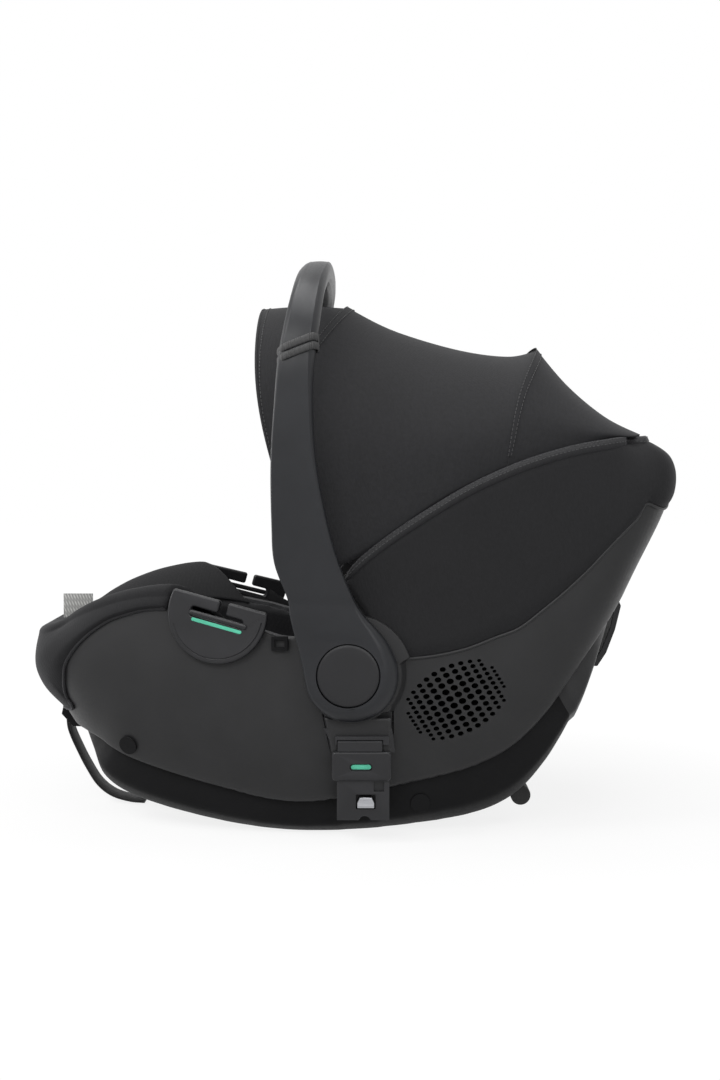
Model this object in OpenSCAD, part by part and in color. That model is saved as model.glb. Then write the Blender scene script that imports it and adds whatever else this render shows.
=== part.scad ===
// Infant car seat: a rocker-bottomed carrier shell with a swinging carry handle, a folding
// canopy, a sliding head support, a three-point harness and a base connector on each side.
// +X points to the head end, +Z up. The origin is the middle of the footprint on the floor.

/* [Shell] */
// Half width of the shell at the handle pivots
shell_half_w = 197; // [192:0.5:198]
// How far the side walls lean in at the rim
rim_tuck = 12; // [6:1:14]
// Wall thickness of the upper shell
shell_wall = 3; // [2.5:0.5:4]
// Step from the upper shell down to the rocker base
base_step = 6; // [5:0.5:7]
// Wall thickness of the rocker base
base_wall = 4; // [3:0.5:4.5]
// Height of the two rocker runners under the base
runner_h = 12; // [8:1:13]

/* [Padding] */
// Thickness of the seat cushion
cushion_t = 12; // [8:1:14]
// Thickness of the foam liner
foam_t = 18; // [12:1:20]
// Thickness of the seat pan under the foam
pan_t = 3; // [2.5:0.5:4]
// Thickness of the outer fabric covers
cover_t = 3.2; // [2:0.2:3.6]

/* [Handle] */
// Height of the handle pivots above the floor
pivot_z = 163.3; // [162:0.1:164]
// Radius of the round handle hub
hub_r = 44; // [42:1:45]
// Outer face of the hub from the middle plane
hub_y = 220; // [219:0.5:222]
// Radius of the round release button
button_r = 30; // [28:0.5:31]

/* [Canopy] */
// Radius of the canopy bows
bow_r = 2.5; // [2:0.1:3]
// Thickness of the canopy fabric with its lining
canopy_t = 3; // [2:0.2:3]

/* [Vent] */
// Radius of the round vent in the side wall
vent_r = 44; // [40:1:46]
// Spacing of the vent's holes at its middle
vent_pitch = 10.4; // [10:0.2:12]
// Radius of the largest vent hole
vent_hole_r = 3.3; // [2.6:0.1:3.6]

/* [Harness] */
// Width of the harness webbing
webbing_w = 38; // [30:1:40]
// Thickness of the harness webbing
webbing_t = 1.6; // [1.2:0.1:2]

/* [Hidden] */
$fn = 64;

charcoal = [0.19, 0.19, 0.195];
base_grey = [0.16, 0.16, 0.165];
fabric_black = [0.12, 0.12, 0.125];
mint = [0.38, 0.75, 0.63];

// Stations of the outer skin from the nose over the rocker to the head end:
// rim x, rim z, keel x, keel z, half width as a share of shell_half_w, squareness
OUTER = [
  [-292, 198, -321, 186, 0.56, 2.4],
  [-280, 206, -322, 148, 0.66, 2.5],
  [-258, 217, -298, 108, 0.75, 2.7],
  [-222, 229, -266, 62, 0.83, 3.0],
  [-180, 234, -230, 27, 0.89, 3.5],
  [-120, 224, -140, 4, 0.95, 4.2],
  [-58, 196, -50, -4, 0.985, 4.6],
  [10, 268, 50, -1, 1.0, 4.6],
  [90, 323, 138, 15, 0.975, 4.6],
  [150, 353, 186, 58, 0.94, 4.8],
  [205, 371, 232, 146, 0.895, 5],
  [248, 379, 277, 242, 0.845, 5],
  [264, 381, 315, 320, 0.79, 4.6],
  [268, 382, 318, 362, 0.74, 4],
  [273, 383, 294, 381, 0.70, 3.4]];

// Stations of the surface that the child lies on, in the same form
SEAT = [
  [-252, 194, -268, 184, 0.43, 2.4],
  [-234, 204, -252, 166, 0.53, 2.6],
  [-203, 212, -212, 148, 0.60, 2.8],
  [-150, 210, -150, 128, 0.64, 3],
  [-95, 200, -95, 112, 0.66, 3.2],
  [-45, 190, -45, 108, 0.67, 3.4],
  [10, 222, 15, 118, 0.68, 3.4],
  [70, 272, 75, 155, 0.67, 3.4],
  [130, 314, 130, 207, 0.65, 3.4],
  [185, 341, 183, 262, 0.63, 3.4],
  [230, 356, 226, 312, 0.60, 3.2],
  [250, 361, 246, 338, 0.55, 3]];

// A row of a table, held at its two ends
function row_at(T, k) = T[max(0, min(len(T) - 1, k))];

// A smooth curve through the rows of a table
function station(T, s) =
  let (k = min(floor(s), len(T) - 2), u = s - k,
       a = row_at(T, k - 1), b = row_at(T, k), c = row_at(T, k + 1), d = row_at(T, k + 2))
  0.5 * (2 * b + u * (c - a) + u * u * (2 * a - 5 * b + 4 * c - d)
    + u * u * u * (3 * b - a - 3 * c + d));

// The direction from the keel into the bucket
function keel_normal(T, s) =
  let (a = station(T, max(0, s - 0.05)), b = station(T, min(len(T) - 1, s + 0.05)),
       t = [b[2] - a[2], b[3] - a[3]])
  [-t[1], t[0]] / norm(t);

// A point of the bucket: station s, angle a from the keel to either rim, depth d inside
function skin(T, s, a, d) =
  let (r = station(T, s), e = 2 / r[5],
       up = 1 - pow(max(cos(a), 0), e),
       side = pow(abs(sin(a)), e),
       k = [r[2], r[3]] + d * keel_normal(T, s),
       p = k + ([r[0], r[1]] - k) * up)
  [p[0], sign(a) * ((r[4] * shell_half_w - d) * side - rim_tuck * up * up * side), p[1]];

// The angle at which a station's section has risen by the share up of its height
function angle_at(T, s, up) = acos(pow(1 - up, station(T, s)[5] / 2));

// Puts a shape on the bucket with its Z axis along the outward normal
module on_skin(T, s, a, d) {
  p = skin(T, s, a, d);
  n = cross(skin(T, s, a + 1, d) - skin(T, s, a - 1, d),
            skin(T, s + 0.05, a, d) - skin(T, s - 0.05, a, d));
  translate(p) rotate([0, acos(n[2] / norm(n)), atan2(n[1], n[0])]) children();
}

// A sheet with thickness over the cells of a grid that has() keeps: the faces follow the
// outer and inner points, and every open edge is closed
module sheet(rows, cols, has, outer, inner) {
  n = (rows + 1) * (cols + 1);
  in_grid = function (i, j) i >= 0 && i < rows && j >= 0 && j < cols && has(i, j);
  at = function (i, j) i * (cols + 1) + j;
  wall = function (a, b) [[b, a, n + a], [b, n + a, n + b]];
  cell = function (a, b, c, d)
    [[a, b, c], [a, c, d], [n + a, n + c, n + b], [n + a, n + d, n + c]];
  faces = [for (i = [0:rows - 1], j = [0:cols - 1]) if (in_grid(i, j))
    let (a = at(i, j), b = at(i + 1, j), c = at(i + 1, j + 1), d = at(i, j + 1))
    each concat(cell(a, b, c, d),
      in_grid(i, j - 1) ? [] : wall(a, b),
      in_grid(i + 1, j) ? [] : wall(b, c),
      in_grid(i, j + 1) ? [] : wall(c, d),
      in_grid(i - 1, j) ? [] : wall(d, a))];
  polyhedron(concat(
    [for (i = [0:rows], j = [0:cols]) outer(i, j)],
    [for (i = [0:rows], j = [0:cols]) inner(i, j)]), faces);
}

// A closed bar through a list of rings of points
module bar(rings) {
  k = len(rings[0]);
  last = len(rings) - 1;
  polyhedron([for (ring = rings) each ring], concat(
    [for (i = [0:last - 1], j = [0:k - 1])
      let (a = i * k + j, b = i * k + (j + 1) % k) each [[a, b, b + k], [a, b + k, a + k]]],
    [[for (j = [k - 1:-1:0]) j]], [[for (j = [0:k - 1]) last * k + j]]));
}

// A plate in the XZ plane from a 2D outline, between two distances from the middle plane
module side_plate(y0, y1) {
  translate([0, -y0, 0]) rotate([90, 0, 0]) linear_extrude(y1 - y0) children();
}

// A round pin or disc along Y on the near side
module y_disc(x, z, r, y0, y1) {
  translate([x, -y0, z]) rotate([90, 0, 0]) cylinder(r = r, h = y1 - y0);
}

module both_sides() {
  children();
  mirror([0, 1, 0]) children();
}

// ---- Shell grid ----
shell_rows = 35;
shell_cols = 20;
half_cols = shell_cols / 2;
crease_cols = 4;
crease_from = 6;
crease_to = 27;
crease_angle = 50;
crease_end_angle = 9;

function shell_s(i) = i * (len(OUTER) - 1) / shell_rows;

// Angle of the crease between the upper shell and the rocker base at a station
function crease_at(s) =
  let (from = shell_s(crease_from), to = shell_s(crease_to),
       q = abs(2 * s - from - to) / (to - from))
  q <= 1
    ? crease_end_angle + (crease_angle - crease_end_angle) * pow(1 - pow(q, 5), 0.5)
    : crease_end_angle + 70 * (q - 1);

function shell_angle(s, j) =
  let (k = j - half_cols, c = crease_at(s), m = abs(k),
       low = 1 - pow(cos(c), 2 / station(OUTER, s)[5]),
       rise = (m - crease_cols) / (half_cols - crease_cols))
  sign(k) * (m <= crease_cols ? c * m / crease_cols
    : angle_at(OUTER, s, low + (1 - low) * rise));

function shell_point(i, j, d) = let (s = shell_s(i)) skin(OUTER, s, shell_angle(s, j), d);

function in_window(i, j) = i >= crease_from && i < crease_to
  && j >= half_cols - crease_cols && j < half_cols + crease_cols;

// The strip where the base reaches up behind the upper shell
function in_overlap(i, j) = i >= crease_from - 1 && i <= crease_to + 1
  && abs(j - half_cols) <= crease_cols + 1;

module upper_shell() {
  color(charcoal) difference() {
    sheet(shell_rows, shell_cols,
      function (i, j) !in_window(i, j),
      function (i, j) shell_point(i, j, 0),
      function (i, j) shell_point(i, j, in_overlap(i, j) ? base_step : shell_wall));
    both_sides() vent_place() translate([0, 0, -15]) cylinder(r = vent_r, h = 30);
    both_sides() belt_notch();
  }
}

// Depth of the base inside the skin, from the keel line out to the crease and its flange
base_profile = [base_step + 1, base_step + 1, base_step - runner_h, base_step - runner_h - 1,
  base_step, base_step];

function base_depth(i, j) =
  let (fade = max(0, min(1, (i - crease_from) / 3, (crease_to - i) / 3)))
  base_step + fade * (base_profile[min(abs(j - half_cols), crease_cols + 1)] - base_step);

module rocker_base() {
  color(base_grey) sheet(shell_rows, shell_cols,
    function (i, j) i >= crease_from - 1 && i < crease_to + 1
      && j >= half_cols - crease_cols - 1 && j < half_cols + crease_cols + 1,
    function (i, j) shell_point(i, j, base_depth(i, j)),
    function (i, j) shell_point(i, j, base_depth(i, j) + base_wall));
}

// ---- Seat layers ----
seat_rows = 22;
seat_cols = 14;

function seat_point(i, j, d) = skin(SEAT, i * (len(SEAT) - 1) / seat_rows,
  180 * j / seat_cols - 90, d);

module seat_layer(d0, d1) {
  sheet(seat_rows, seat_cols, function (i, j) true,
    function (i, j) seat_point(i, j, -d1),
    function (i, j) seat_point(i, j, -d0));
}

foam_d = cushion_t + 0.2;
pan_d = foam_d + foam_t + 0.2;

module seat_cushion() {
  color(fabric_black) seat_layer(0, cushion_t);
}

module foam_liner() {
  color([0.25, 0.25, 0.26]) seat_layer(foam_d, foam_d + foam_t);
}

module seat_pan() {
  color([0.2, 0.2, 0.2]) seat_layer(pan_d, pan_d + pan_t);
}

// The upright web between the rocker base and the seat pan
rib_t = 4;
rib_gap = 0.3;
module centre_rib() {
  color(base_grey) side_plate(-rib_t / 2, rib_t / 2) polygon(concat(
    [for (s = [3.6:0.4:10])
      let (p = skin(OUTER, s, 0, base_profile[0] + base_wall + rib_gap)) [p[0], p[2]]],
    [for (s = [9:-0.5:1.5])
      let (p = skin(SEAT, s, 0, -pan_d - pan_t - rib_gap)) [p[0], p[2]]]));
}

// ---- Outer fabric ----
front_gap = 2.35;
skirt_gap = 2.7;
cover_rows = 10;
cover_half_cols = 12;
cover_rim_col = 10;
// The cover reaches far back in a narrow band along the rim only
cover_keel_s = 1.9;
cover_rim_s = 4.05;
// Its padded roll above the rim: rise and way inwards of the columns past the rim
cover_roll = [[0, 0], [6.5, 1], [10.5, 7]];

function cover_point(i, j, d) =
  let (k = j - cover_half_cols, share = min(abs(k) / cover_rim_col, 1),
       a = sign(k) * 90 * (1 - pow(1 - share, 1.8)),
       s_end = cover_keel_s + (cover_rim_s - cover_keel_s) * pow(abs(a) / 90, 25),
       roll = cover_roll[max(abs(k) - cover_rim_col, 0)] * (0.4 + 0.6 * min(i / 4, 1)))
  skin(OUTER, s_end * i / cover_rows, a, d) + [0, -sign(k) * roll[1], roll[0]];

module front_cover() {
  color(fabric_black) sheet(cover_rows, 2 * cover_half_cols, function (i, j) true,
    function (i, j) cover_point(i, j, -front_gap - cover_t),
    function (i, j) cover_point(i, j, -front_gap));
}

skirt_rows = 24;
skirt_cols = 18;
skirt_band = 6;
skirt_turn = 17;
skirt_from_rim = 6.6;
skirt_from_low = 7.55;
skirt_low_up = 0.61;

// Share of the wall's height that the skirt leaves bare, falling to nothing behind the head
function skirt_low(i) =
  let (q = min(i / skirt_turn, 1)) skirt_low_up - 0.24 * pow(q, 1.4) - 0.35 * pow(q, 9);

function skirt_point(i, j, d) =
  let (k = j - skirt_cols / 2, m = abs(k), inner = skirt_cols / 2 - skirt_band,
       rise = max(0, (m - inner) / skirt_band),
       from = skirt_from_low + (skirt_from_rim - skirt_from_low) * pow(rise, 0.8),
       s = from + (len(OUTER) - 1 - from) * i / skirt_rows,
       low = skirt_low(i),
       start = angle_at(OUTER, s, low),
       round = pow(min(i / skirt_turn, 1), 3))
  skin(OUTER, s, sign(k) * (m <= inner ? start * m / inner
    : (1 - round) * angle_at(OUTER, s, low + (1 - low) * rise)
      + round * (start + (90 - start) * rise)), d);

module side_skirt() {
  color(fabric_black) sheet(skirt_rows, skirt_cols,
    function (i, j) i >= skirt_turn || j < skirt_band || j >= skirt_cols - skirt_band,
    function (i, j) skirt_point(i, j, -skirt_gap - cover_t),
    function (i, j) skirt_point(i, j, -skirt_gap));
}

module pull_tag() {
  color([0.55, 0.55, 0.55]) translate([-289.5, -20, 212]) rotate([0, -28, 0])
    cube([27, 1.2, 14], center = true);
}

// ---- Vent ----
vent_s = 7.58;
vent_up = 0.41;
vent_plate_t = 3;
vent_fit = 0.3;

module vent_place() {
  on_skin(OUTER, vent_s, -angle_at(OUTER, vent_s, vent_up), 0) children();
}

// A round grid of holes, drawn in towards the rim as on a ball, smaller as they go out
module vent_grille() {
  reach = vent_r - 3;
  function ball(r) = reach * sin(min(r / reach, 1.45) * 62) / sin(62);
  color(charcoal) vent_place() translate([0, 0, -vent_plate_t])
    linear_extrude(vent_plate_t) difference() {
      circle(r = vent_r - vent_fit);
      for (i = [-6:6], j = [-6:6]) {
        p = [(i + j) * vent_pitch * 0.62, (i - j) * vent_pitch * 0.62];
        q = norm(p);
        if (q < reach * 1.12)
          translate(q > 0 ? p / q * ball(q) : p)
            circle(r = vent_hole_r * (1 - 0.5 * pow(min(q / reach, 1.2), 2) * 0.8), $fn = 24);
      }
    }
}

module vent_grille_left() { vent_grille(); }
module vent_grille_right() { mirror([0, 1, 0]) vent_grille(); }

// ---- Belt guides ----
guide_x = -128.5;
guide_z = 219;
guide_r = 51;
guide_y0 = 177;
guide_t = 7;
guide_lean = 5;
guide_toe = -8.8;
guide_slot = [54, 9];
guide_slot_angle = 15.5;
guide_slot_at = [-1, -5];
guide_top = 12.5;
guide_top_angle = 14;
guide_gap = 8;
guide_mark = [50, 3.2];

// The guide's own plane leans with the side wall: x and y of a shape are its length and height
module on_guide(depth) {
  translate([guide_x, -guide_y0, guide_z]) rotate([90 - guide_lean, 0, guide_toe])
    translate([0, 0, depth]) children();
}

// The rim is cut down behind the slot so that the belt can cross into the seat
module belt_notch() {
  on_guide(-18) linear_extrude(18 + guide_t) translate(guide_slot_at) rotate(-guide_slot_angle)
    translate([-guide_slot[0] / 2 - 3, -guide_slot[1] / 2 - 2]) square([guide_slot[0] + 6, 50]);
}

module belt_guide() {
  color([0.23, 0.23, 0.235]) on_guide(0) linear_extrude(guide_t) difference() {
    intersection() {
      circle(r = guide_r);
      rotate(-guide_top_angle) translate([-guide_r - 5, guide_top - 2 * guide_r])
        square(2 * [guide_r + 5, guide_r]);
    }
    translate(guide_slot_at) rotate(-guide_slot_angle) {
      translate([-guide_slot[0] / 2, -guide_slot[1] / 2]) square(guide_slot);
      translate([4 - guide_gap / 2, 0]) square([guide_gap, 40]);
    }
  }
}

module belt_guide_left() { belt_guide(); }
module belt_guide_right() { mirror([0, 1, 0]) belt_guide(); }

module belt_guide_marks() {
  color(mint) both_sides() on_guide(guide_t) linear_extrude(0.5)
    translate(guide_slot_at - [2, 7.4]) rotate(-guide_slot_angle)
      translate([-guide_mark[0] / 2, -guide_mark[1] / 2]) square(guide_mark);
}

// Square hooks under the rim, beside the belt guides
hook_at = [-69.5, 190.5];
hook_y = [184.5, 188];
hook_outside = [16, 14];
hook_inside = [9, 7];
module rim_hooks() {
  color(base_grey) both_sides() side_plate(hook_y[0], hook_y[1])
    translate(hook_at) difference() {
      square(hook_outside, center = true);
      square(hook_inside, center = true);
    }
}

// Caps over the screws that join the shell and the base; the front one is on the shell
front_cap_at = [3.94, -56];
cap_r = 9.6;
cap_t = 1.6;

// Places a shape on the base's side, the share way down from the crease to the runner
module on_base_side(s, way) {
  c = crease_at(s);
  top = skin(OUTER, s, -c, base_profile[4]);
  low = skin(OUTER, s, -c * 0.75, base_profile[3]);
  along = skin(OUTER, s + 0.2, -c, base_profile[4]) - top;
  n = cross(along, top - low);
  translate(top + (low - top) * way) rotate([0, acos(n[2] / norm(n)), atan2(n[1], n[0])])
    translate([0, 0, 0.8]) children();
}

module screw_caps() {
  color([0.2, 0.2, 0.205]) both_sides() {
    on_skin(OUTER, front_cap_at[0], front_cap_at[1], 0) translate([0, 0, 0.9])
      cylinder(r = cap_r, h = cap_t);
    on_base_side(7.22, 0.68) cylinder(r = cap_r, h = cap_t);
  }
}

// Round feet along Y, tucked under the back ends of the runners
foot_r = 10;
foot_y = [79, 111];
foot_x = 168.5;
foot_z = 28.5;
module rear_feet() {
  color([0.08, 0.08, 0.08]) both_sides() y_disc(foot_x, foot_z, foot_r, foot_y[0], foot_y[1]);
}

module rear_belt_hook() {
  color([0.2, 0.2, 0.205]) side_plate(-40, 40) polygon([
    [246, 150], [254, 150], [263, 164], [272, 188], [278, 213], [275, 220], [268, 223],
    [262, 207.5], [265.5, 212.5], [271, 213], [267, 191], [258, 168], [252.5, 159]]);
}

// ---- Handle pivots ----
// The pivot sits off the middle of the hub and of the shell's round ear
pivot_x = -3.5;
ear_x = 0;
ear_z = 162;
plate_y0 = 197.5;
plate_y1 = 202;
plate_r = 56;
journal_r = 34;
journal_wall = 7;
journal_h = 5;
run_fit = 0.05;
side_gap = 0.4;
web_t = 4;
web_y0 = plate_y1 + journal_h + 0.5;
web_y1 = web_y0 + web_t;
gear_r = 25;
gear_teeth = 18;
gear_y0 = web_y0 - 2.5;
gear_y1 = web_y1 - 0.2;
cap_y0 = hub_y - 3.6;
cap_y1 = hub_y - 0.2;

// Toothed outline of the lock gear, grown by g all round
module gear_outline(g) {
  polygon([for (k = [0:gear_teeth * 4 - 1])
    let (a = k * 90 / gear_teeth, r = gear_r + g - ((k % 4) < 2 ? 0 : 3))
    r * [cos(a), sin(a)]]);
}

module pivot_plate() {
  color([0.21, 0.21, 0.215]) difference() {
    union() {
      y_disc(ear_x, ear_z, plate_r, plate_y0, plate_y1);
      y_disc(pivot_x, pivot_z, journal_r, plate_y1 - 1, plate_y1 + journal_h);
    }
    y_disc(pivot_x, pivot_z, journal_r - journal_wall, plate_y0 + 1.6, plate_y1 + journal_h + 1);
  }
}

module pivot_plate_left() { pivot_plate(); }
module pivot_plate_right() { mirror([0, 1, 0]) pivot_plate(); }

neck_top_z = 236;
neck_outline = [[-40, 150], [-49.5, 185], [-57.5, 215], [-60.5, neck_top_z],
  [1.5, neck_top_z], [5, 228], [12, 218.5], [21, 209.5], [31, 198], [39, 182.5], [30, 150]];
leg_inner_y = plate_y1 + side_gap + 1.4;

module handle_hub() {
  color([0.22, 0.22, 0.225]) difference() {
    union() {
      y_disc(ear_x, ear_z, hub_r, plate_y1 + side_gap, hub_y);
      side_plate(leg_inner_y, hub_y) polygon(neck_outline);
    }
    y_disc(pivot_x, pivot_z, journal_r + run_fit, plate_y1 - 1, web_y0);
    y_disc(pivot_x, pivot_z, button_r + 0.4, web_y1, hub_y + 1);
    translate([pivot_x, 0, pivot_z]) side_plate(web_y0 - 0.5, web_y1 + 0.5) gear_outline(0.25);
  }
}

module handle_hub_left() { handle_hub(); }
module handle_hub_right() { mirror([0, 1, 0]) handle_hub(); }

module hub_button() {
  color([0.24, 0.24, 0.245]) difference() {
    y_disc(pivot_x, pivot_z, button_r, cap_y0, cap_y1);
    y_disc(pivot_x, pivot_z, 7.5, cap_y0 - 1, cap_y0 + 1);
  }
}

module hub_button_left() { hub_button(); }
module hub_button_right() { mirror([0, 1, 0]) hub_button(); }

module lock_gear() {
  color([0.5, 0.5, 0.5]) union() {
    translate([pivot_x, 0, pivot_z]) side_plate(gear_y0, gear_y1) gear_outline(0);
    y_disc(pivot_x, pivot_z, 7.3, gear_y1 - 1, cap_y0 + 1);
  }
}

module lock_gear_left() { lock_gear(); }
module lock_gear_right() { mirror([0, 1, 0]) lock_gear(); }

// A compression spring as a stack of rings along Y
module spring_rings(x, z, r, wire, y0, y1, turns) {
  for (k = [0:turns - 1])
    translate([x, -(y0 + wire + (y1 - y0 - 2 * wire) * k / (turns - 1)), z])
      rotate([90, 0, 0]) rotate_extrude() translate([r, 0]) circle(r = wire, $fn = 16);
}

module button_springs() {
  color([0.6, 0.6, 0.6]) both_sides()
    spring_rings(pivot_x, pivot_z, 12, 0.8, plate_y0 + 1.7, gear_y0 - 0.1, 3);
}

// ---- Carry handle ----
// Middle line of one half: x, distance from the middle plane, z, width, thickness
leg_y = (leg_inner_y + hub_y) / 2;
leg_t = hub_y - leg_inner_y;
HANDLE = [
  [-29.5, leg_y, neck_top_z, 62, leg_t],
  [-42.7, leg_y, 270, 60.5, leg_t],
  [-49.2, leg_y, 307, 52.5, leg_t],
  [-54.8, leg_y, 365, 42.5, leg_t],
  [-54.5, leg_y - 1.5, 421, 35.5, leg_t],
  [-52, leg_y - 5, 462, 33.5, leg_t + 1],
  [-46, leg_y - 16, 498, 33, 18],
  [-39, leg_y - 41, 530, 33, 19],
  [-34, leg_y - 79, 549, 33, 20],
  [-32, leg_y - 130, 555, 33, 20],
  [-31, leg_y - 211, 556, 33, 20]];
handle_steps = 2;
handle_sides = 16;

function handle_row(u) =
  let (n = (len(HANDLE) - 1) * handle_steps, far = u > n, k = (far ? 2 * n - u : u) / handle_steps,
       r = station(HANDLE, k))
  [r[0], far ? r[1] : -r[1], r[2], r[3], r[4]];

function handle_ring(u) =
  let (last = 2 * (len(HANDLE) - 1) * handle_steps,
       a = handle_row(max(u - 0.5, 0)), b = handle_row(min(u + 0.5, last)), r = handle_row(u),
       up = u < 1 || u > last - 1,
       t = up ? [0, (u < 1 ? 1 : -1)] : [b[1] - a[1], b[2] - a[2]] / norm([b[1] - a[1], b[2] - a[2]]))
  [for (k = [0:handle_sides - 1])
    let (g = 360 * (k + 0.5) / handle_sides,
         c = sign(cos(g)) * pow(abs(cos(g)), 0.5) * r[3] / 2,
         q = sign(sin(g)) * pow(abs(sin(g)), 0.5) * r[4] / 2)
    [r[0] + c, r[1] - q * t[1], r[2] + q * t[0]]];

module handle_loop() {
  last = 2 * (len(HANDLE) - 1) * handle_steps;
  color([0.22, 0.22, 0.225]) bar([for (u = [0:last]) handle_ring(u)]);
}

// The canopy's elastic loops, slipped over the handle's legs
loop_at = handle_row(10.36);
loop_tilt = 15.6;
loop_inside = [36, 20.5, 20];
loop_wall = 1.6;
module elastic_loops() {
  color([0.1, 0.1, 0.1]) both_sides() translate([loop_at[0], loop_at[1], loop_at[2]])
    rotate([-loop_tilt, 0, 0]) linear_extrude(loop_inside[2], center = true) difference() {
      square([loop_inside[0] + 2 * loop_wall, loop_inside[1] + 2 * loop_wall], center = true);
      square([loop_inside[0], loop_inside[1]], center = true);
    }
}

// ---- Canopy ----
bow_x = 30;
bow_z = 215;
// Arches from front to back: hem x, hem z, crown x, crown z, half width, squareness, forward bulge
ARCH_VISOR = [-47, 266, -92.5, 521, 178, 2.8, 15];
ARCH_MIDDLE = [-40, 262, -50, 524, 180, 2.7, 32];
ARCH_FRONT = [-26, 258, -4, 522, 183, 2.6, 48];
ARCH_HOLLOW_A = [16, 279, 42, 499, 182, 2.6, 34];
ARCH_HOLLOW_B = [82, 325, 108, 479, 177, 2.6, 18];
ARCH_HOLLOW_C = [126, 348, 160, 472, 171, 2.6, 10];
ARCH_REAR = [148, 358, 190, 478, 168, 2.7, 9];
ARCH_BACK_A = [192, 374, 220, 441, 162, 2.9, 5];
ARCH_BACK_B = [232, 383, 256, 409, 155, 3.2, 2];
ARCH_HEM = [258, 387, 289, 391, 145, 3.6, 0];

// A point of an arch: angle a from the near hem over the crown, depth d inside
function arch_point(T, s, a, d) =
  let (r = station(T, s), e = 2 / r[5], up = pow(max(sin(a), 0), e),
       side = pow(abs(cos(a)), e), bulge = r[6] * sin(180 * pow(up, 1.3)))
  [r[0] + (r[2] - r[0]) * up - bulge, -sign(cos(a)) * (r[4] - d) * side,
   r[1] + (r[3] - d - r[1]) * up];

// A panel stops a little short of the bow it is sewn to, so that it can fold beside it
seam_trim = 0.02;
function panel_s(T, share) = seam_trim + (len(T) - 1 - 2 * seam_trim) * share;

module canopy_sheet(T, rows, cols) {
  sheet(rows, cols, function (i, j) true,
    function (i, j) arch_point(T, panel_s(T, i / rows), 180 - 180 * j / cols, 0),
    function (i, j) arch_point(T, panel_s(T, i / rows), 180 - 180 * j / cols, canopy_t));
}

FRONT_PANEL = [ARCH_FRONT, ARCH_HOLLOW_A, ARCH_HOLLOW_B, ARCH_HOLLOW_C, ARCH_REAR];
REAR_PANEL = [ARCH_REAR, ARCH_BACK_A, ARCH_BACK_B, ARCH_HEM];
VISOR = [ARCH_VISOR, ARCH_MIDDLE, ARCH_FRONT];

module visor() { color(fabric_black) canopy_sheet(VISOR, 4, 20); }
module canopy_front_panel() { color(fabric_black) canopy_sheet(FRONT_PANEL, 8, 20); }
module canopy_rear_panel() { color(fabric_black) canopy_sheet(REAR_PANEL, 6, 20); }

// A round bar through a list of points
module round_bar(points, r, sides) {
  last = len(points) - 1;
  bar([for (i = [0:last])
    let (a = points[max(i - 1, 0)], b = points[min(i + 1, last)], t = (b - a) / norm(b - a),
         u = cross(t, [1, 0, 0]) / norm(cross(t, [1, 0, 0])), v = cross(u, t))
    [for (k = [0:sides - 1]) points[i] + r * (cos(360 * k / sides) * u + sin(360 * k / sides) * v)]]);
}

bow_depth = canopy_t + 2 * bow_r + 0.8;
eye_r = 8;
pin_r = 3;
eye_t = 3;
rear_eye_y = 176.5;
front_eye_y = rear_eye_y - eye_t - 0.5;

// A bow runs from the eye on its pivot pin, along the arch and down to the other eye
module bow(T, way) {
  near = concat(
    [for (p = way) [p[0], -p[1], p[2]]],
    [for (a = [0:12:84]) arch_point(T, 0, a, bow_depth)]);
  round_bar(concat(near, [arch_point(T, 0, 90, bow_depth)],
    [for (k = [len(near) - 1:-1:0]) [near[k][0], -near[k][1], near[k][2]]]), bow_r, 8);
}

module bow_eyes(eye_y) {
  both_sides() difference() {
    y_disc(bow_x, bow_z, eye_r, eye_y - eye_t, eye_y);
    y_disc(bow_x, bow_z, pin_r + run_fit, eye_y - eye_t - 1, eye_y + 1);
  }
}

module bow_rear() {
  color([0.15, 0.15, 0.15]) bow([ARCH_REAR, ARCH_REAR],
    [[36.5, rear_eye_y - eye_t / 2, 222.2], [72, 171, 262], [112, 167, 314]]);
}
module bow_front() {
  color([0.15, 0.15, 0.15]) bow([ARCH_FRONT, ARCH_FRONT],
    [[22.3, front_eye_y - eye_t / 2, 221.5], [2, 174.5, 238]]);
}
module bow_rear_eyes() { color([0.15, 0.15, 0.15]) bow_eyes(rear_eye_y); }
module bow_front_eyes() { color([0.15, 0.15, 0.15]) bow_eyes(front_eye_y); }

module canopy_pins() {
  color([0.5, 0.5, 0.5]) both_sides() {
    y_disc(bow_x, bow_z, pin_r, front_eye_y - eye_t - 2, rear_eye_y + 3);
    y_disc(bow_x, bow_z, 9, rear_eye_y + 0.5, rear_eye_y + 5.5);
  }
}

// ---- Base connectors ----
conn_y = 206;

// The wall that the connector is set against, a little proud of the shell
wall_clear = 3;
module outside_shell(x0, x1, y1) {
  translate([x0, 0, 0]) rotate([90, 0, 90]) linear_extrude(x1 - x0) polygon(concat(
    [for (a = [-20:-6:-74])
      let (p = skin(OUTER, 7, a, a > -crease_angle ? base_profile[3] - 1.5 : -wall_clear)) [p[1], p[2]]],
    [[-plate_y0, 140], [-y1, 140], [-y1, 18]]));
}

// Rectangles of the connector seen from the side: x, z, width, height
conn_box = [-18.5, 62, 55, 27];
conn_lower = [-14.5, 23, 50, 40];
conn_bar = [-16, 96, 51, 8];
conn_recess = [-14.4, 88.6, 43.8, 11.8];
conn_window = [-2, 71.5, 21, 6];
conn_socket = [20.6, 50.6, 9.8, 9.8];
conn_catch = [3.7, 33.7, 18.6, 14];
conn_shade = [[-27, 111], [-16, 88], [41, 88], [38, 111]];
conn_in_y = 150;
conn_notch_r = 6;

module side_block(y0, y1, r) {
  side_plate(y0, y1) translate([r[0], r[1]]) square([r[2], r[3]]);
}

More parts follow.
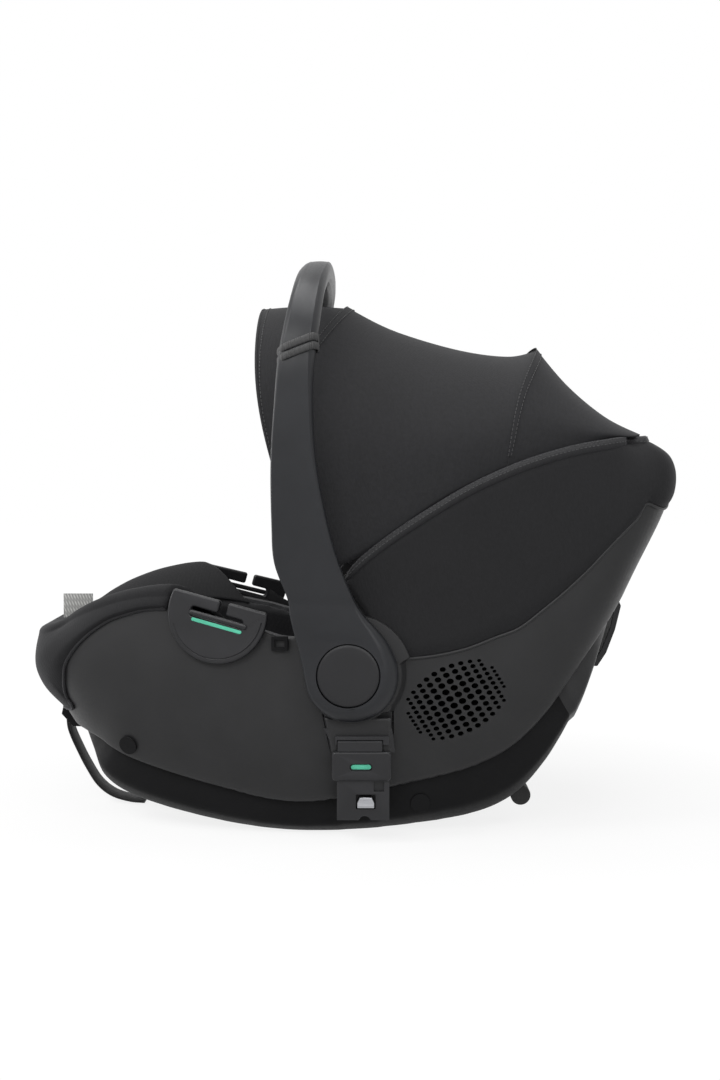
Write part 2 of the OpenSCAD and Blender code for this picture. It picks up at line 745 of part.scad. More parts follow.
module connector() {
  color([0.22, 0.22, 0.225]) difference() {
    intersection() {
      union() {
        side_plate(conn_in_y, conn_y - 5) polygon(conn_shade);
        side_block(conn_in_y, conn_y, conn_box);
        side_block(conn_in_y, conn_y - 3, conn_lower);
        side_block(conn_in_y, conn_y, conn_bar);
      }
      outside_shell(-30, 45, conn_y);
    }
    y_disc(ear_x, ear_z, plate_r + 0.3, conn_y - 16, conn_y + 4);
    side_block(conn_y - 8, conn_y + 1, conn_recess);
    side_block(conn_y - 1.5, conn_y + 1, conn_window);
    side_block(conn_y - 6, conn_y, conn_socket);
    side_block(conn_y - 14, conn_y, conn_catch);
    y_disc(12, 21, conn_notch_r, conn_in_y, conn_y + 4);
  }
}

module connector_left() { connector(); }
module connector_right() { mirror([0, 1, 0]) connector(); }

module connector_windows() {
  color(mint) both_sides() side_plate(conn_y - 1.4, conn_y - 0.1)
    translate([-1.6, 72]) square([20.2, 5]);
}

module connector_button() {
  color([0.25, 0.25, 0.255]) side_plate(202.3, conn_y + 1.5)
    translate([-14, 89]) square([43, 11]);
}

module connector_button_left() { connector_button(); }
module connector_button_right() { mirror([0, 1, 0]) connector_button(); }

module connector_latch() {
  color([0.4, 0.4, 0.4]) side_plate(conn_y - 10, conn_y - 1) polygon([
    [5, 35], [21, 35], [21, 40], [18.5, 45], [7.5, 45], [5, 40]]);
}

module connector_latch_left() { connector_latch(); }
module connector_latch_right() { mirror([0, 1, 0]) connector_latch(); }

// ---- Head support ----
back_angle = 46;
head_start = [124.5, 213];
head_length = 118;
head_half_w = 94;
head_wing = 70;
head_corner = 42;
head_shell_t = 5;
head_pad_t = 18;

// Places a shape on the backrest: x along it, y across it, z out of it
module on_back() {
  translate([head_start[0], 0, head_start[1]]) rotate([0, -back_angle, 0]) children();
}

// A trough with rounded lower corners
module trough(half, corner, height) {
  translate([-half, corner]) square([2 * half, height - corner]);
  translate([-half + corner, 0]) square([2 * (half - corner), corner + 0.1]);
  for (side = [-1, 1]) translate([side * (half - corner), corner]) circle(r = corner);
}

module head_layer(d0, d1, from, to) {
  on_back() translate([from, 0, 0]) rotate([90, 0, 90]) linear_extrude(to - from) difference() {
    translate([0, d0]) trough(head_half_w - d0, head_corner - d0, head_wing - d0);
    translate([0, d1]) trough(head_half_w - d1, head_corner - d1, head_wing);
  }
}

module head_shell() {
  color(base_grey) head_layer(0, head_shell_t, 0, head_length);
}

module head_pad() {
  color(fabric_black) head_layer(head_shell_t + 0.2, head_shell_t + head_pad_t, 4, head_length - 4);
}

// ---- Harness ----
// A flat band through points; across gives the direction of its width at each of them
module band(points, across, w, t) {
  last = len(points) - 1;
  bar([for (i = [0:last])
    let (a = points[max(i - 1, 0)], b = points[min(i + 1, last)],
         n = cross(b - a, across[i]) / norm(cross(b - a, across[i])), c = across[i] * w / 2)
    [points[i] - c + n * t / 2, points[i] + c + n * t / 2,
     points[i] + c - n * t / 2, points[i] - c - n * t / 2]]);
}

module level_band(points, w, t) {
  band(points, [for (p = points) [0, 1, 0]], w, t);
}

// Route of a shoulder strap from the backrest to its tongue, on the near side
STRAP = [[111, -35, 193], [103, -35, 192], [92, -35, 185], [75, -34, 168], [50, -32, 148],
  [25, -29, 134], [0, -26, 130], [-20, -24, 133.5], [-33, -24, 133.4]];
LAP = [[-33, -24, 127.5], [-20, -36, 122.5], [0, -60, 128], [14, -82, 135], [24, -100, 146]];
LAP_ACROSS = [[0, 1, 0], [0.7, 0.7, 0], [0.9, 0.4, 0.1], [0.95, 0.25, 0.2], [0.95, 0.2, 0.2]];

module shoulder_straps() {
  color([0.1, 0.1, 0.1]) both_sides() level_band(STRAP, webbing_w, webbing_t);
}

module shoulder_pads() {
  color(fabric_black) both_sides()
    level_band([for (k = [1:5]) STRAP[k] + [-3.6, 0, 4.6]], webbing_w + 14, 7);
}

module lap_straps() {
  color([0.1, 0.1, 0.1]) both_sides()
    band(LAP, [for (a = LAP_ACROSS) a / norm(a)], webbing_w - 8, webbing_t);
}

buckle_x = -92;
buckle_z = 122.5;
buckle_size = [46, 48, 22];
tongue_z = 129.5;
tongue_t = 2.2;

module rounded(size, r) {
  translate([r, 0]) square([size[0] - 2 * r, size[1]]);
  translate([0, r]) square([size[0], size[1] - 2 * r]);
  for (x = [r, size[0] - r], y = [r, size[1] - r]) translate([x, y]) circle(r = r);
}

module buckle_body() {
  color([0.09, 0.09, 0.09]) difference() {
    translate([buckle_x, -buckle_size[1] / 2, buckle_z]) linear_extrude(buckle_size[2])
      rounded([buckle_size[0], buckle_size[1]], 9);
    both_sides() translate([buckle_x + 28, 1.7, tongue_z - 0.3])
      cube([30, 18.6, tongue_t + 0.6]);
    translate([buckle_x + 12, -15.3, buckle_z + 17]) linear_extrude(10) rounded([22.6, 30.6], 4.3);
  }
}

module buckle_button() {
  color([0.7, 0.08, 0.06]) translate([buckle_x + 12.3, -15, buckle_z + 20.2])
    linear_extrude(4) rounded([22, 30], 4);
}

module buckle_tongues() {
  color([0.6, 0.6, 0.62]) both_sides() translate([0, 0, tongue_z]) linear_extrude(tongue_t)
    difference() {
      polygon([[buckle_x + 30, 2], [-45, 2], [-42, 2], [-26, 2], [-26, 46], [-39, 46],
        [-44, 24], [-45, 20], [buckle_x + 30, 20]]);
      translate([-36, 4.6]) square([6.5, 38.8]);
    }
}

module crotch_strap() {
  color([0.1, 0.1, 0.1]) level_band([[-113, 0, 121], [-108, 0, 123.5], [-101, 0, 127],
    [buckle_x - 0.2, 0, 129]], webbing_w - 6, webbing_t);
}

module crotch_pad() {
  color(fabric_black) level_band([[-104, 0, 119.6], [-85, 0, 118.4], [-60, 0, 118.2],
    [-46, 0, 118.6]], 56, 6);
}

// ---- Harness adjuster ----
adjuster_at = [-212, 150.5];
adjuster_slope = 20;
adjuster_size = [30, 52];
adjuster_h = 8;

module on_seat_front() {
  translate([adjuster_at[0], 0, adjuster_at[1]]) rotate([0, adjuster_slope, 0]) children();
}

module adjuster_bezel() {
  color(base_grey) on_seat_front() difference() {
    translate([-adjuster_size[0] / 2, -adjuster_size[1] / 2, 0]) linear_extrude(adjuster_h)
      rounded(adjuster_size, 8);
    translate([-adjuster_size[0] / 2 + 4, -adjuster_size[1] / 2 + 4, 1.5]) linear_extrude(9)
      rounded(adjuster_size - [8, 8], 4.5);
  }
}

module adjuster_button() {
  color([0.3, 0.3, 0.3]) on_seat_front()
    translate([-adjuster_size[0] / 2 + 4.4, -adjuster_size[1] / 2 + 4.4, adjuster_h - 2.5])
      linear_extrude(4) rounded(adjuster_size - [8.8, 8.8], 4.1);
}

module adjuster_mouth() {
  color(base_grey) difference() {
    side_plate(-25, 25) polygon(concat(
      [for (s = [2.2:0.08:2.56]) let (p = skin(OUTER, s, 0, -0.5)) [p[0], p[2]]],
      [[-296, 84], [-308, 97], [-306.5, 104]]));
    side_plate(-20.5, 20.5) translate([-304.6, 80]) square([3.2, 40]);
  }
}

// The pull strap hangs out of its mouth and tucks under the base
module adjuster_strap() {
  color([0.1, 0.1, 0.1]) level_band([[-303, 0, 104], [-303, 0, 86], [-300, 0, 74],
    [-293, 0, 58], [-284, 0, 40], [-272, 0, 21], [-257, 0, 9], [-238, 0, 3], [-222, 0, 1.5]],
    webbing_w, webbing_t);
}

upper_shell();
rocker_base();
seat_pan();
foam_liner();
seat_cushion();
centre_rib();
front_cover();
side_skirt();
pull_tag();
vent_grille_left();
vent_grille_right();
belt_guide_left();
belt_guide_right();
belt_guide_marks();
rim_hooks();
screw_caps();
rear_feet();
rear_belt_hook();
pivot_plate_left();
pivot_plate_right();
connector_left();
connector_right();
connector_windows();
connector_button_left();
connector_button_right();
connector_latch_left();
connector_latch_right();
handle_loop();
handle_hub_left();
handle_hub_right();
hub_button_left();
hub_button_right();
lock_gear_left();
lock_gear_right();
button_springs();
elastic_loops();
canopy_pins();
bow_rear();
bow_rear_eyes();
bow_front();
bow_front_eyes();
visor();
canopy_front_panel();
canopy_rear_panel();
head_shell();
head_pad();
shoulder_straps();
shoulder_pads();
lap_straps();
buckle_tongues();
buckle_body();
buckle_button();
crotch_strap();
crotch_pad();
adjuster_bezel();
adjuster_button();
adjuster_mouth();
adjuster_strap();
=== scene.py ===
import math

import bmesh
import bpy
import numpy as np
from bpy.props import FloatProperty, FloatVectorProperty, PointerProperty
from mathutils import Matrix, Vector
from mathutils.bvhtree import BVHTree


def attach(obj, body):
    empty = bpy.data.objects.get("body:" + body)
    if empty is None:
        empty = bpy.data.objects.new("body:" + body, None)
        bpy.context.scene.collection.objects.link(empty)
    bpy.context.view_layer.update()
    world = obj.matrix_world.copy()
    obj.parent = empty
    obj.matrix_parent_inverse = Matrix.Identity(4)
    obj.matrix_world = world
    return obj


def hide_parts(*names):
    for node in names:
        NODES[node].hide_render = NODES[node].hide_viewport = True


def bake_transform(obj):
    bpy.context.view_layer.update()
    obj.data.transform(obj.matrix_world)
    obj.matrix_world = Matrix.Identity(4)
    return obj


bl_info = {
    "name": "Infant car seat",
    "version": (1, 0, 0),
    "blender": (4, 5, 0),
    "location": "View3D > Sidebar > Car seat",
    "description": "Dresses the packed frame of an infant car seat",
    "category": "Object",
}

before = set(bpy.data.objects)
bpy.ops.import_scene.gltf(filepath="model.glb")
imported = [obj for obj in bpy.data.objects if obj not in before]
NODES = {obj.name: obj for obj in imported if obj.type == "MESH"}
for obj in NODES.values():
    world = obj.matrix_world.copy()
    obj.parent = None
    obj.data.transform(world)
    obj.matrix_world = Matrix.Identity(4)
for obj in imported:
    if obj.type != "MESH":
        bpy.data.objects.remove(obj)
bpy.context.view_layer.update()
MM = 0.001
SIDES = ((-1, "left"), (1, "right"))


# ---- The bucket's form, in millimetres, as the frame's solids have it ----
# Stations from the nose to the head end: rim x, rim z, keel x, keel z, width share, squareness
OUTER = (
    (-292, 198, -321, 186, 0.56, 2.4), (-280, 206, -322, 148, 0.66, 2.5),
    (-258, 217, -298, 108, 0.75, 2.7), (-222, 229, -266, 62, 0.83, 3.0),
    (-180, 234, -230, 27, 0.89, 3.5), (-120, 224, -140, 4, 0.95, 4.2),
    (-58, 196, -50, -4, 0.985, 4.6), (10, 268, 50, -1, 1.0, 4.6),
    (90, 323, 138, 15, 0.975, 4.6), (150, 353, 186, 58, 0.94, 4.8),
    (205, 371, 232, 146, 0.895, 5.0), (248, 379, 277, 242, 0.845, 5.0),
    (264, 381, 315, 320, 0.79, 4.6), (268, 382, 318, 362, 0.74, 4.0),
    (273, 383, 294, 381, 0.70, 3.4))
SEAT = (
    (-252, 194, -268, 184, 0.43, 2.4), (-234, 204, -252, 166, 0.53, 2.6),
    (-203, 212, -212, 148, 0.60, 2.8), (-150, 210, -150, 128, 0.64, 3.0),
    (-95, 200, -95, 112, 0.66, 3.2), (-45, 190, -45, 108, 0.67, 3.4),
    (10, 222, 15, 118, 0.68, 3.4), (70, 272, 75, 155, 0.67, 3.4),
    (130, 314, 130, 207, 0.65, 3.4), (185, 341, 183, 262, 0.63, 3.4),
    (230, 356, 226, 312, 0.60, 3.2), (250, 361, 246, 338, 0.55, 3.0))
HALF_WIDTH = 197.0
RIM_TUCK = 12.0


def station(table, s):
    """A smooth curve through the rows of a table."""
    rows = np.array(table, float)
    s = np.asarray(s, float)
    k = np.clip(np.floor(s).astype(int), 0, len(rows) - 2)
    u = (s - k)[..., None]
    a, b = rows[np.maximum(k - 1, 0)], rows[k]
    c, d = rows[k + 1], rows[np.minimum(k + 2, len(rows) - 1)]
    return 0.5 * (2 * b + u * (c - a) + u * u * (2 * a - 5 * b + 4 * c - d)
                  + u ** 3 * (3 * b - a - 3 * c + d))


def travel(points):
    """How far along a line each of its points is."""
    steps = np.linalg.norm(np.diff(points, axis=0), axis=1)
    return np.r_[0, np.cumsum(steps)]


def unit(vectors):
    return vectors / np.linalg.norm(vectors, axis=1)[:, None]


class Bucket:
    """A lofted bucket: s runs along its stations, f from the near rim (-1) to the far one (1)."""

    def __init__(self, table):
        self.table = table
        self.last = len(table) - 1
        self.s_grid = np.linspace(0, self.last, self.last * 10 + 1)
        self.f_grid = np.linspace(0, 1, 161)
        turn = np.linspace(0, math.pi / 2, 241)
        self.side = np.zeros((len(self.s_grid), len(self.f_grid)))
        self.fall = self.side.copy()
        self.run = np.zeros((len(self.s_grid), len(turn)))
        self.turn = np.degrees(turn)
        for i, s in enumerate(self.s_grid):
            n = station(table, s)[5]
            # An even fan of directions on the superellipse, so that both ends are well sampled
            fan = np.linspace(0, math.pi / 2, 401)
            size = (np.cos(fan) ** n + np.sin(fan) ** n) ** (-1 / n)
            side, fall = np.sin(fan) * size, np.cos(fan) * size
            p = self.place(np.full(len(fan), s), side, fall, 0)
            run = travel(p)
            run /= run[-1]
            self.side[i] = np.interp(self.f_grid, run, side)
            self.fall[i] = np.interp(self.f_grid, run, fall)
            fan_of_turn = np.r_[np.arctan(np.tan(turn[:-1]) ** (2 / n)), math.pi / 2]
            self.run[i] = np.interp(fan_of_turn, fan, run)

    def normal(self, s):
        a = station(self.table, np.maximum(s - 0.05, 0))
        b = station(self.table, np.minimum(s + 0.05, self.last))
        t = unit(b[:, 2:4] - a[:, 2:4])
        return np.c_[-t[:, 1], t[:, 0]]

    def place(self, s, side, fall, d):
        """side is signed, fall is 1 at the keel and 0 at the rim, d is the depth inside."""
        r = station(self.table, s)
        up = 1 - fall
        keel = r[:, 2:4] + np.asarray(d)[..., None] * self.normal(s)
        p = keel + (r[:, 0:2] - keel) * up[:, None]
        y = (r[:, 4] * HALF_WIDTH - d) * side - RIM_TUCK * up * up * side
        return np.c_[p[:, 0], y, p[:, 1]]

    def _look(self, grid, s, f):
        i = np.clip(s / self.last * (len(self.s_grid) - 1), 0, len(self.s_grid) - 1.001)
        j = np.clip(np.abs(f) * (len(self.f_grid) - 1), 0, len(self.f_grid) - 1.001)
        a, b = i.astype(int), j.astype(int)
        u, v = i - a, j - b
        return ((1 - u) * ((1 - v) * grid[a, b] + v * grid[a, b + 1])
                + u * ((1 - v) * grid[a + 1, b] + v * grid[a + 1, b + 1]))

    def at(self, s, f, d=0.0):
        """Points of the wall, depth d inside; f is the share of the way round the section."""
        s, f = np.broadcast_arrays(np.asarray(s, float), np.asarray(f, float))
        s = np.clip(s, 0, self.last)
        d = np.broadcast_to(np.asarray(d, float), s.shape)
        side = self._look(self.side, s, f) * np.sign(f)
        return self.place(s, side, self._look(self.fall, s, f), d)

    def share_at(self, s, degrees):
        """The share of the way round at which a section reaches an angle from its keel."""
        s = np.atleast_1d(np.asarray(s, float))
        k = np.clip(np.rint(s / self.last * (len(self.s_grid) - 1)).astype(int), 0,
                    len(self.s_grid) - 1)
        return np.array([np.interp(a, self.turn, self.run[i])
                         for i, a in zip(k, np.broadcast_to(degrees, s.shape))])

    def find(self, points):
        """The (s, f) of the near wall seen from the side at each (x, z)."""
        s, f = np.meshgrid(np.linspace(0, self.last, 281), np.linspace(-1, 0, 161),
                           indexing="ij")
        p = self.at(s.ravel(), f.ravel())
        out = []
        for x, z in points:
            k = np.argmin((p[:, 0] - x) ** 2 + (p[:, 2] - z) ** 2)
            out.append((s.ravel()[k], f.ravel()[k]))
        return np.array(out)


SHELL = Bucket(OUTER)
LIE = Bucket(SEAT)

# The crease between the upper shell and the rocker base, as angles from the keel
CREASE_FROM, CREASE_TO = 2.4, 10.8
CREASE_ANGLE, CREASE_END_ANGLE = 50.0, 9.0


def crease_angle(s):
    q = np.abs(2 * s - CREASE_FROM - CREASE_TO) / (CREASE_TO - CREASE_FROM)
    inside = CREASE_END_ANGLE + (CREASE_ANGLE - CREASE_END_ANGLE) * np.sqrt(
        np.maximum(1 - q ** 5, 0))
    return np.where(q <= 1, inside, CREASE_END_ANGLE + 70 * (q - 1))


def resample(points, count, closed=False):
    """count points evenly spaced along a line of points."""
    p = np.asarray(points, float)
    if closed:
        p = np.vstack([p, p[:1]])
    run = travel(p)
    at = np.linspace(0, run[-1], count + 1)[:-1] if closed else np.linspace(0, run[-1], count)
    return np.c_[tuple(np.interp(at, run, p[:, k]) for k in range(p.shape[1]))]


def nth(share, count):
    """The whole step that a share of the way falls on."""
    return np.rint(share * count).astype(int)


def ease(t):
    return t * t * (3 - 2 * t)


def arch(distance, radius, low=0):
    """The height, up to 1, of a quarter circle at a distance from its foot."""
    share = np.clip(distance / radius, 0, 1)
    return np.sqrt(np.clip(1 - (1 - share) ** 2, low, 1))


def smooth_line(points, count):
    """A smooth curve through a few points, evenly sampled."""
    fine = station(points, np.linspace(0, len(points) - 1, max(count * 4, 60)))
    return resample(fine, count)


# ---- Mesh making ----
def put(obj, body, slot, *nodes):
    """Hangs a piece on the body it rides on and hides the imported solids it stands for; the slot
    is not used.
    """
    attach(obj, body)
    if nodes:
        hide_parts(*nodes)


def finish_mesh(name, bm, material, smooth_angle=40, recalc=True):
    if recalc:
        bmesh.ops.recalc_face_normals(bm, faces=bm.faces[:])
    mesh = bpy.data.meshes.new(name)
    bm.to_mesh(mesh)
    bm.free()
    obj = bpy.data.objects.new(name, mesh)
    bpy.context.scene.collection.objects.link(obj)
    mesh.materials.append(material)
    mesh.shade_smooth()
    if smooth_angle:
        mesh.set_sharp_from_angle(angle=math.radians(smooth_angle))
    return obj


def grid_mesh(cols, rows, place, wrap_u=False, wrap_v=False):
    """A grid of cols x rows faces whose corners go to place(u, v), in millimetres."""
    bm = bmesh.new()
    bm.loops.layers.uv.new("UVMap")
    bmesh.ops.create_grid(bm, x_segments=cols, y_segments=rows, size=0.5, calc_uvs=True)
    uv = np.array([v.co[:2] for v in bm.verts]) + 0.5
    # The rims of a wrapped grid must meet exactly
    uv = np.round(uv, 7)
    points = place(uv[:, 0], uv[:, 1]) * MM
    for v, p in zip(bm.verts, points):
        v.co = p
    if wrap_u or wrap_v:
        bmesh.ops.remove_doubles(bm, verts=bm.verts[:], dist=2e-6)
    return bm


def relax(bm, times):
    """Evens out a sheet while its edges stay where they are."""
    for _ in range(times):
        bmesh.ops.smooth_vert(bm, verts=[v for v in bm.verts if not v.is_boundary],
                              factor=0.5, use_axis_x=True, use_axis_y=True, use_axis_z=True)


def fill_ends(bm):
    bmesh.ops.holes_fill(bm, edges=[e for e in bm.edges if e.is_boundary], sides=0)


def edges_along(bm, axis):
    """The edges that run along one of the three axes."""
    return [e for e in bm.edges
            if abs((e.verts[1].co - e.verts[0].co).normalized()[axis]) > 0.9]


def round_off(bm, edges, radius, segments, **more):
    bmesh.ops.bevel(bm, geom=edges, offset=radius * MM, segments=segments, profile=0.5,
                    affect="EDGES", material=-1, **more)


def crisp(obj, degrees):
    """Edges bent by more than this stay sharp."""
    obj.data.set_sharp_from_angle(angle=math.radians(degrees))


def thick_sheet(name, bm, material, inside, thick, smooth_angle=0):
    """A sheet that faces away from a point inside it and grows inwards by its thickness."""
    obj = finish_mesh(name, bm, material, smooth_angle)
    face_out(obj, inside)
    modifier(obj, "SOLIDIFY", thickness=thick * MM, offset=-1)
    return obj


def discard(obj):
    """Removes a helper object with its mesh."""
    mesh = obj.data
    bpy.data.objects.remove(obj)
    bpy.data.meshes.remove(mesh)


def modifier(obj, kind, **settings):
    m = obj.modifiers.new(kind.title(), kind)
    for key, value in settings.items():
        setattr(m, key, value)
    return m


def apply_modifiers(obj):
    """Turns the modifiers into mesh."""
    bpy.context.view_layer.update()
    graph = bpy.context.evaluated_depsgraph_get()
    done = bpy.data.meshes.new_from_object(obj.evaluated_get(graph))
    old = obj.data
    obj.modifiers.clear()
    obj.data = done
    bpy.data.meshes.remove(old)


def even_shading(obj):
    """Keeps flat faces flat beside their rounded edges."""
    crisp(obj, 40)
    modifier(obj, "WEIGHTED_NORMAL", keep_sharp=True)
    apply_modifiers(obj)


def cut(obj, cutter_bm):
    """Takes the cutter's solids out of obj."""
    mesh = bpy.data.meshes.new("cutter")
    bmesh.ops.recalc_face_normals(cutter_bm, faces=cutter_bm.faces[:])
    cutter_bm.to_mesh(mesh)
    cutter_bm.free()
    tool = bpy.data.objects.new("cutter", mesh)
    bpy.context.scene.collection.objects.link(tool)
    modifier(obj, "BOOLEAN", object=tool, operation="DIFFERENCE", solver="MANIFOLD")
    apply_modifiers(obj)
    discard(tool)


def add_cylinder(bm, centre, axis, r, long, sides=32):
    """A closed cylinder about a point, in millimetres."""
    turn = Vector((0, 0, 1)).rotation_difference(Vector(axis)).to_matrix().to_4x4()
    return bmesh.ops.create_cone(
        bm, cap_ends=True, segments=sides, radius1=r * MM, radius2=r * MM, depth=long * MM,
        matrix=Matrix.Translation(Vector(centre) * MM) @ turn)["verts"]


def add_box(bm, lo, hi, turn=Matrix()):
    lo, hi = Vector(lo), Vector(hi)
    size = Matrix.Diagonal((*((hi - lo) * MM), 1))
    middle = Matrix.Translation((lo + hi) / 2 * MM)
    bmesh.ops.create_cube(bm, size=1.0, matrix=turn @ middle @ size)


def add_side_box(bm, side, lo, hi):
    """A box on one side wall: side is -1 or 1, and y the distance from the middle plane."""
    near, far = sorted((side * lo[1], side * hi[1]))
    add_box(bm, (lo[0], near, lo[2]), (hi[0], far, hi[2]))


def rounded_plate(name, lo, hi, corner, rim, material, side):
    """A plate on one side wall with rounded corners and a rounded face."""
    bm = bmesh.new()
    add_side_box(bm, side, lo, hi)
    round_off(bm, edges_along(bm, 1), corner, 6)
    face = [e for e in bm.edges if all(abs(v.co.y - side * hi[1] * MM) < 1e-6 for v in e.verts)]
    round_off(bm, face, rim, 4)
    return finish_mesh(name, bm, material, 40)


def tube(name, path, r, material, sides=8):
    """A round cord through points in millimetres."""
    path = np.asarray(path, float)
    t = unit(np.vstack([path[1:], path[-1:]]) - np.vstack([path[:1], path[:-1]]))
    u = np.cross(t, [0, 1.0, 0])
    # A cord that runs straight across takes its side from the upright instead
    across = np.linalg.norm(u, axis=1) < 0.2
    u[across] = np.cross(t[across], [0, 0, 1.0])
    u = unit(u)
    w = np.cross(u, t)

    def place(a, b):
        k = nth(a, len(path) - 1)
        g = b[:, None] * 2 * math.pi
        return path[k] + r * (np.cos(g) * u[k] + np.sin(g) * w[k])

    bm = grid_mesh(len(path) - 1, sides, place, wrap_v=True)
    fill_ends(bm)
    return finish_mesh(name, bm, material, 60)


def joined(name, parts, material):
    """One object from several meshes of the same finish."""
    bm = bmesh.new()
    for obj in parts:
        bm.from_mesh(obj.data)
        discard(obj)
    return finish_mesh(name, bm, material, 60, recalc=False)


def stitches(name, path, material, pitch=4.2, size=2.6, r=0.42):
    """A row of thread stitches laid along points in millimetres."""
    path = np.asarray(path, float)
    run = travel(path)
    count = max(int(run[-1] / pitch), 1)
    bm = bmesh.new()
    for k in range(count):
        ends = [np.array([np.interp(t, run, path[:, c]) for c in range(3)])
                for t in (k * pitch, k * pitch + size)]
        way = Vector(ends[1] - ends[0])
        if way.length >= 0.5:
            add_cylinder(bm, (ends[0] + ends[1]) / 2, way, r, size, 5)
    return finish_mesh(name, bm, material, 60)


def rolled_edge(name, path, out, r, material):
    """A padded roll along a rim: path and the outward way at each of its points."""
    n = len(path)
    low, high = math.radians(-60), math.radians(210)

    def place(u, v):
        i = nth(u, n - 1)
        # The roll closes to nothing at its two ends
        rr = (r * arch(np.minimum(i, n - 1 - i), 3, 0.05))[:, None]
        g = low + (high - low) * v
        return (path[i] + out[i] * np.cos(g)[:, None] * rr
                + np.array([0, 0, 1.0]) * np.sin(g)[:, None] * rr)

    return finish_mesh(name, grid_mesh(n - 1, 10, place), material, 0, recalc=False)


def cad_copy(node, name, material, bevel=0.0):
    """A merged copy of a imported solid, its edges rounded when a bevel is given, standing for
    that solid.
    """
    bm = bmesh.new()
    bm.from_mesh(NODES[node].data)
    bmesh.ops.remove_doubles(bm, verts=bm.verts[:], dist=1e-6)
    bmesh.ops.dissolve_limit(bm, angle_limit=math.radians(2), verts=bm.verts[:],
                             edges=bm.edges[:])
    obj = finish_mesh(name, bm, material, 35, recalc=False)
    if bevel:
        modifier(obj, "BEVEL", width=bevel * MM, segments=3, limit_method="ANGLE",
                 angle_limit=math.radians(32), profile=0.5, harden_normals=True)
    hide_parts(node)
    return obj


def dress(node, material):
    """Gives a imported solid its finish."""
    obj = NODES[node]
    if not obj.material_slots:
        obj.data.materials.append(material)
    for slot in obj.material_slots:
        slot.material = material


# ---- Colours and finishes ----
def linear(code):
    """An sRGB hex colour as linear light."""
    out = []
    for k in (1, 3, 5):
        c = int(code[k:k + 2], 16) / 255
        out.append(c / 12.92 if c <= 0.04045 else ((c + 0.055) / 1.055) ** 2.4)
    return (*out, 1.0)


def new_material(name):
    """A material, its shader, and the place on the object that its patterns follow."""
    mat = bpy.data.materials.new(name)
    mat.use_nodes = True
    return (mat, mat.node_tree.nodes["Principled BSDF"],
            add(mat, "ShaderNodeTexCoord").outputs["Object"])


def tune(shader, values):
    for key, value in values.items():
        shader.inputs[key].default_value = value


def relief(mat, shader, height, strength, deep, **settings):
    bump = add(mat, "ShaderNodeBump", {"Height": height, "Strength": strength,
                                       "Distance": deep}, **settings)
    link(mat, bump.outputs["Normal"], shader, "Normal")


def crossed(mat, where, turns, pitch, profile, **more):
    """Two sets of fine ribs, each turned its own way."""
    ways = []
    for turn in turns:
        way = add(mat, "ShaderNodeMapping", {"Vector": where, "Rotation": turn})
        ways.append(add(mat, "ShaderNodeTexWave",
                        {"Vector": way.outputs["Vector"], "Scale": 1000.0 / pitch / 20 * math.pi,
                         **more}, wave_profile=profile).outputs["Fac"])
    return ways


def add(mat, kind, inputs=None, **settings):
    """Adds a shader node with its settings, and its values or links by socket."""
    n = mat.node_tree.nodes.new(kind)
    for key, value in settings.items():
        setattr(n, key, value)
    for key, value in (inputs or {}).items():
        if isinstance(value, bpy.types.NodeSocket):
            mat.node_tree.links.new(value, n.inputs[key])
        else:
            n.inputs[key].default_value = value
    return n


def link(mat, source, shader, socket):
    mat.node_tree.links.new(source, shader.inputs[socket])


def shade(colour, k):
    return (*(min(c * k, 1) for c in colour[:3]), 1.0)


def ramp(mat, fac, low, high, a=0.35, b=0.65):
    n = add(mat, "ShaderNodeValToRGB", {"Fac": fac})
    n.color_ramp.elements[0].position, n.color_ramp.elements[0].color = a, low
    n.color_ramp.elements[1].position, n.color_ramp.elements[1].color = b, high
    return n.outputs["Color"]


def moulded_plastic(name, colour, roughness=0.5, grain=1.1, depth=0.05, edge_wear_and_highlight=1.5, gloss=0.28):
    """Injection-moulded polypropylene: a fine eroded grain that breaks up the highlights,
    faint cloudy flow marks, and sharp edges painted lighter, partly as rubbed wear and
    partly as a painted highlight."""
    mat, shader, where = new_material(name)
    cloud = add(mat, "ShaderNodeTexNoise", {"Vector": where, "Scale": 22.0, "Detail": 3.0})
    base = ramp(mat, cloud.outputs["Fac"], shade(colour, 0.9), shade(colour, 1.1))
    # Sharp edges are painted lighter: partly rubbed wear, partly a painted highlight along the
    # edges.
    edge = add(mat, "ShaderNodeNewGeometry").outputs["Pointiness"]
    rubbed_and_lit = add(mat, "ShaderNodeMapRange",
                 {"Value": edge, "From Min": 0.52, "From Max": 0.6, "To Min": 0.0, "To Max": 1.0})
    mixed = add(mat, "ShaderNodeMix", {"Factor": rubbed_and_lit.outputs["Result"], "A": base,
                                       "B": shade(colour, edge_wear_and_highlight)}, data_type="RGBA")
    link(mat, mixed.outputs["Result"], shader, "Base Color")
    # Grain cells of about a millimetre, coarser than the real grain so that they show
    grit = add(mat, "ShaderNodeTexVoronoi", {"Vector": where, "Scale": 1000.0 / grain})
    fine = add(mat, "ShaderNodeTexNoise", {"Vector": where, "Scale": 420.0, "Detail": 2.0})
    rough = add(mat, "ShaderNodeMapRange",
                {"Value": fine.outputs["Fac"], "From Min": 0.3, "From Max": 0.7,
                 "To Min": roughness - 0.05, "To Max": roughness + 0.06})
    link(mat, rough.outputs["Result"], shader, "Roughness")
    relief(mat, shader, grit.outputs["Distance"], 0.25, depth * MM)
    tune(shader, {"IOR": 1.49, "Specular IOR Level": gloss})
    return mat


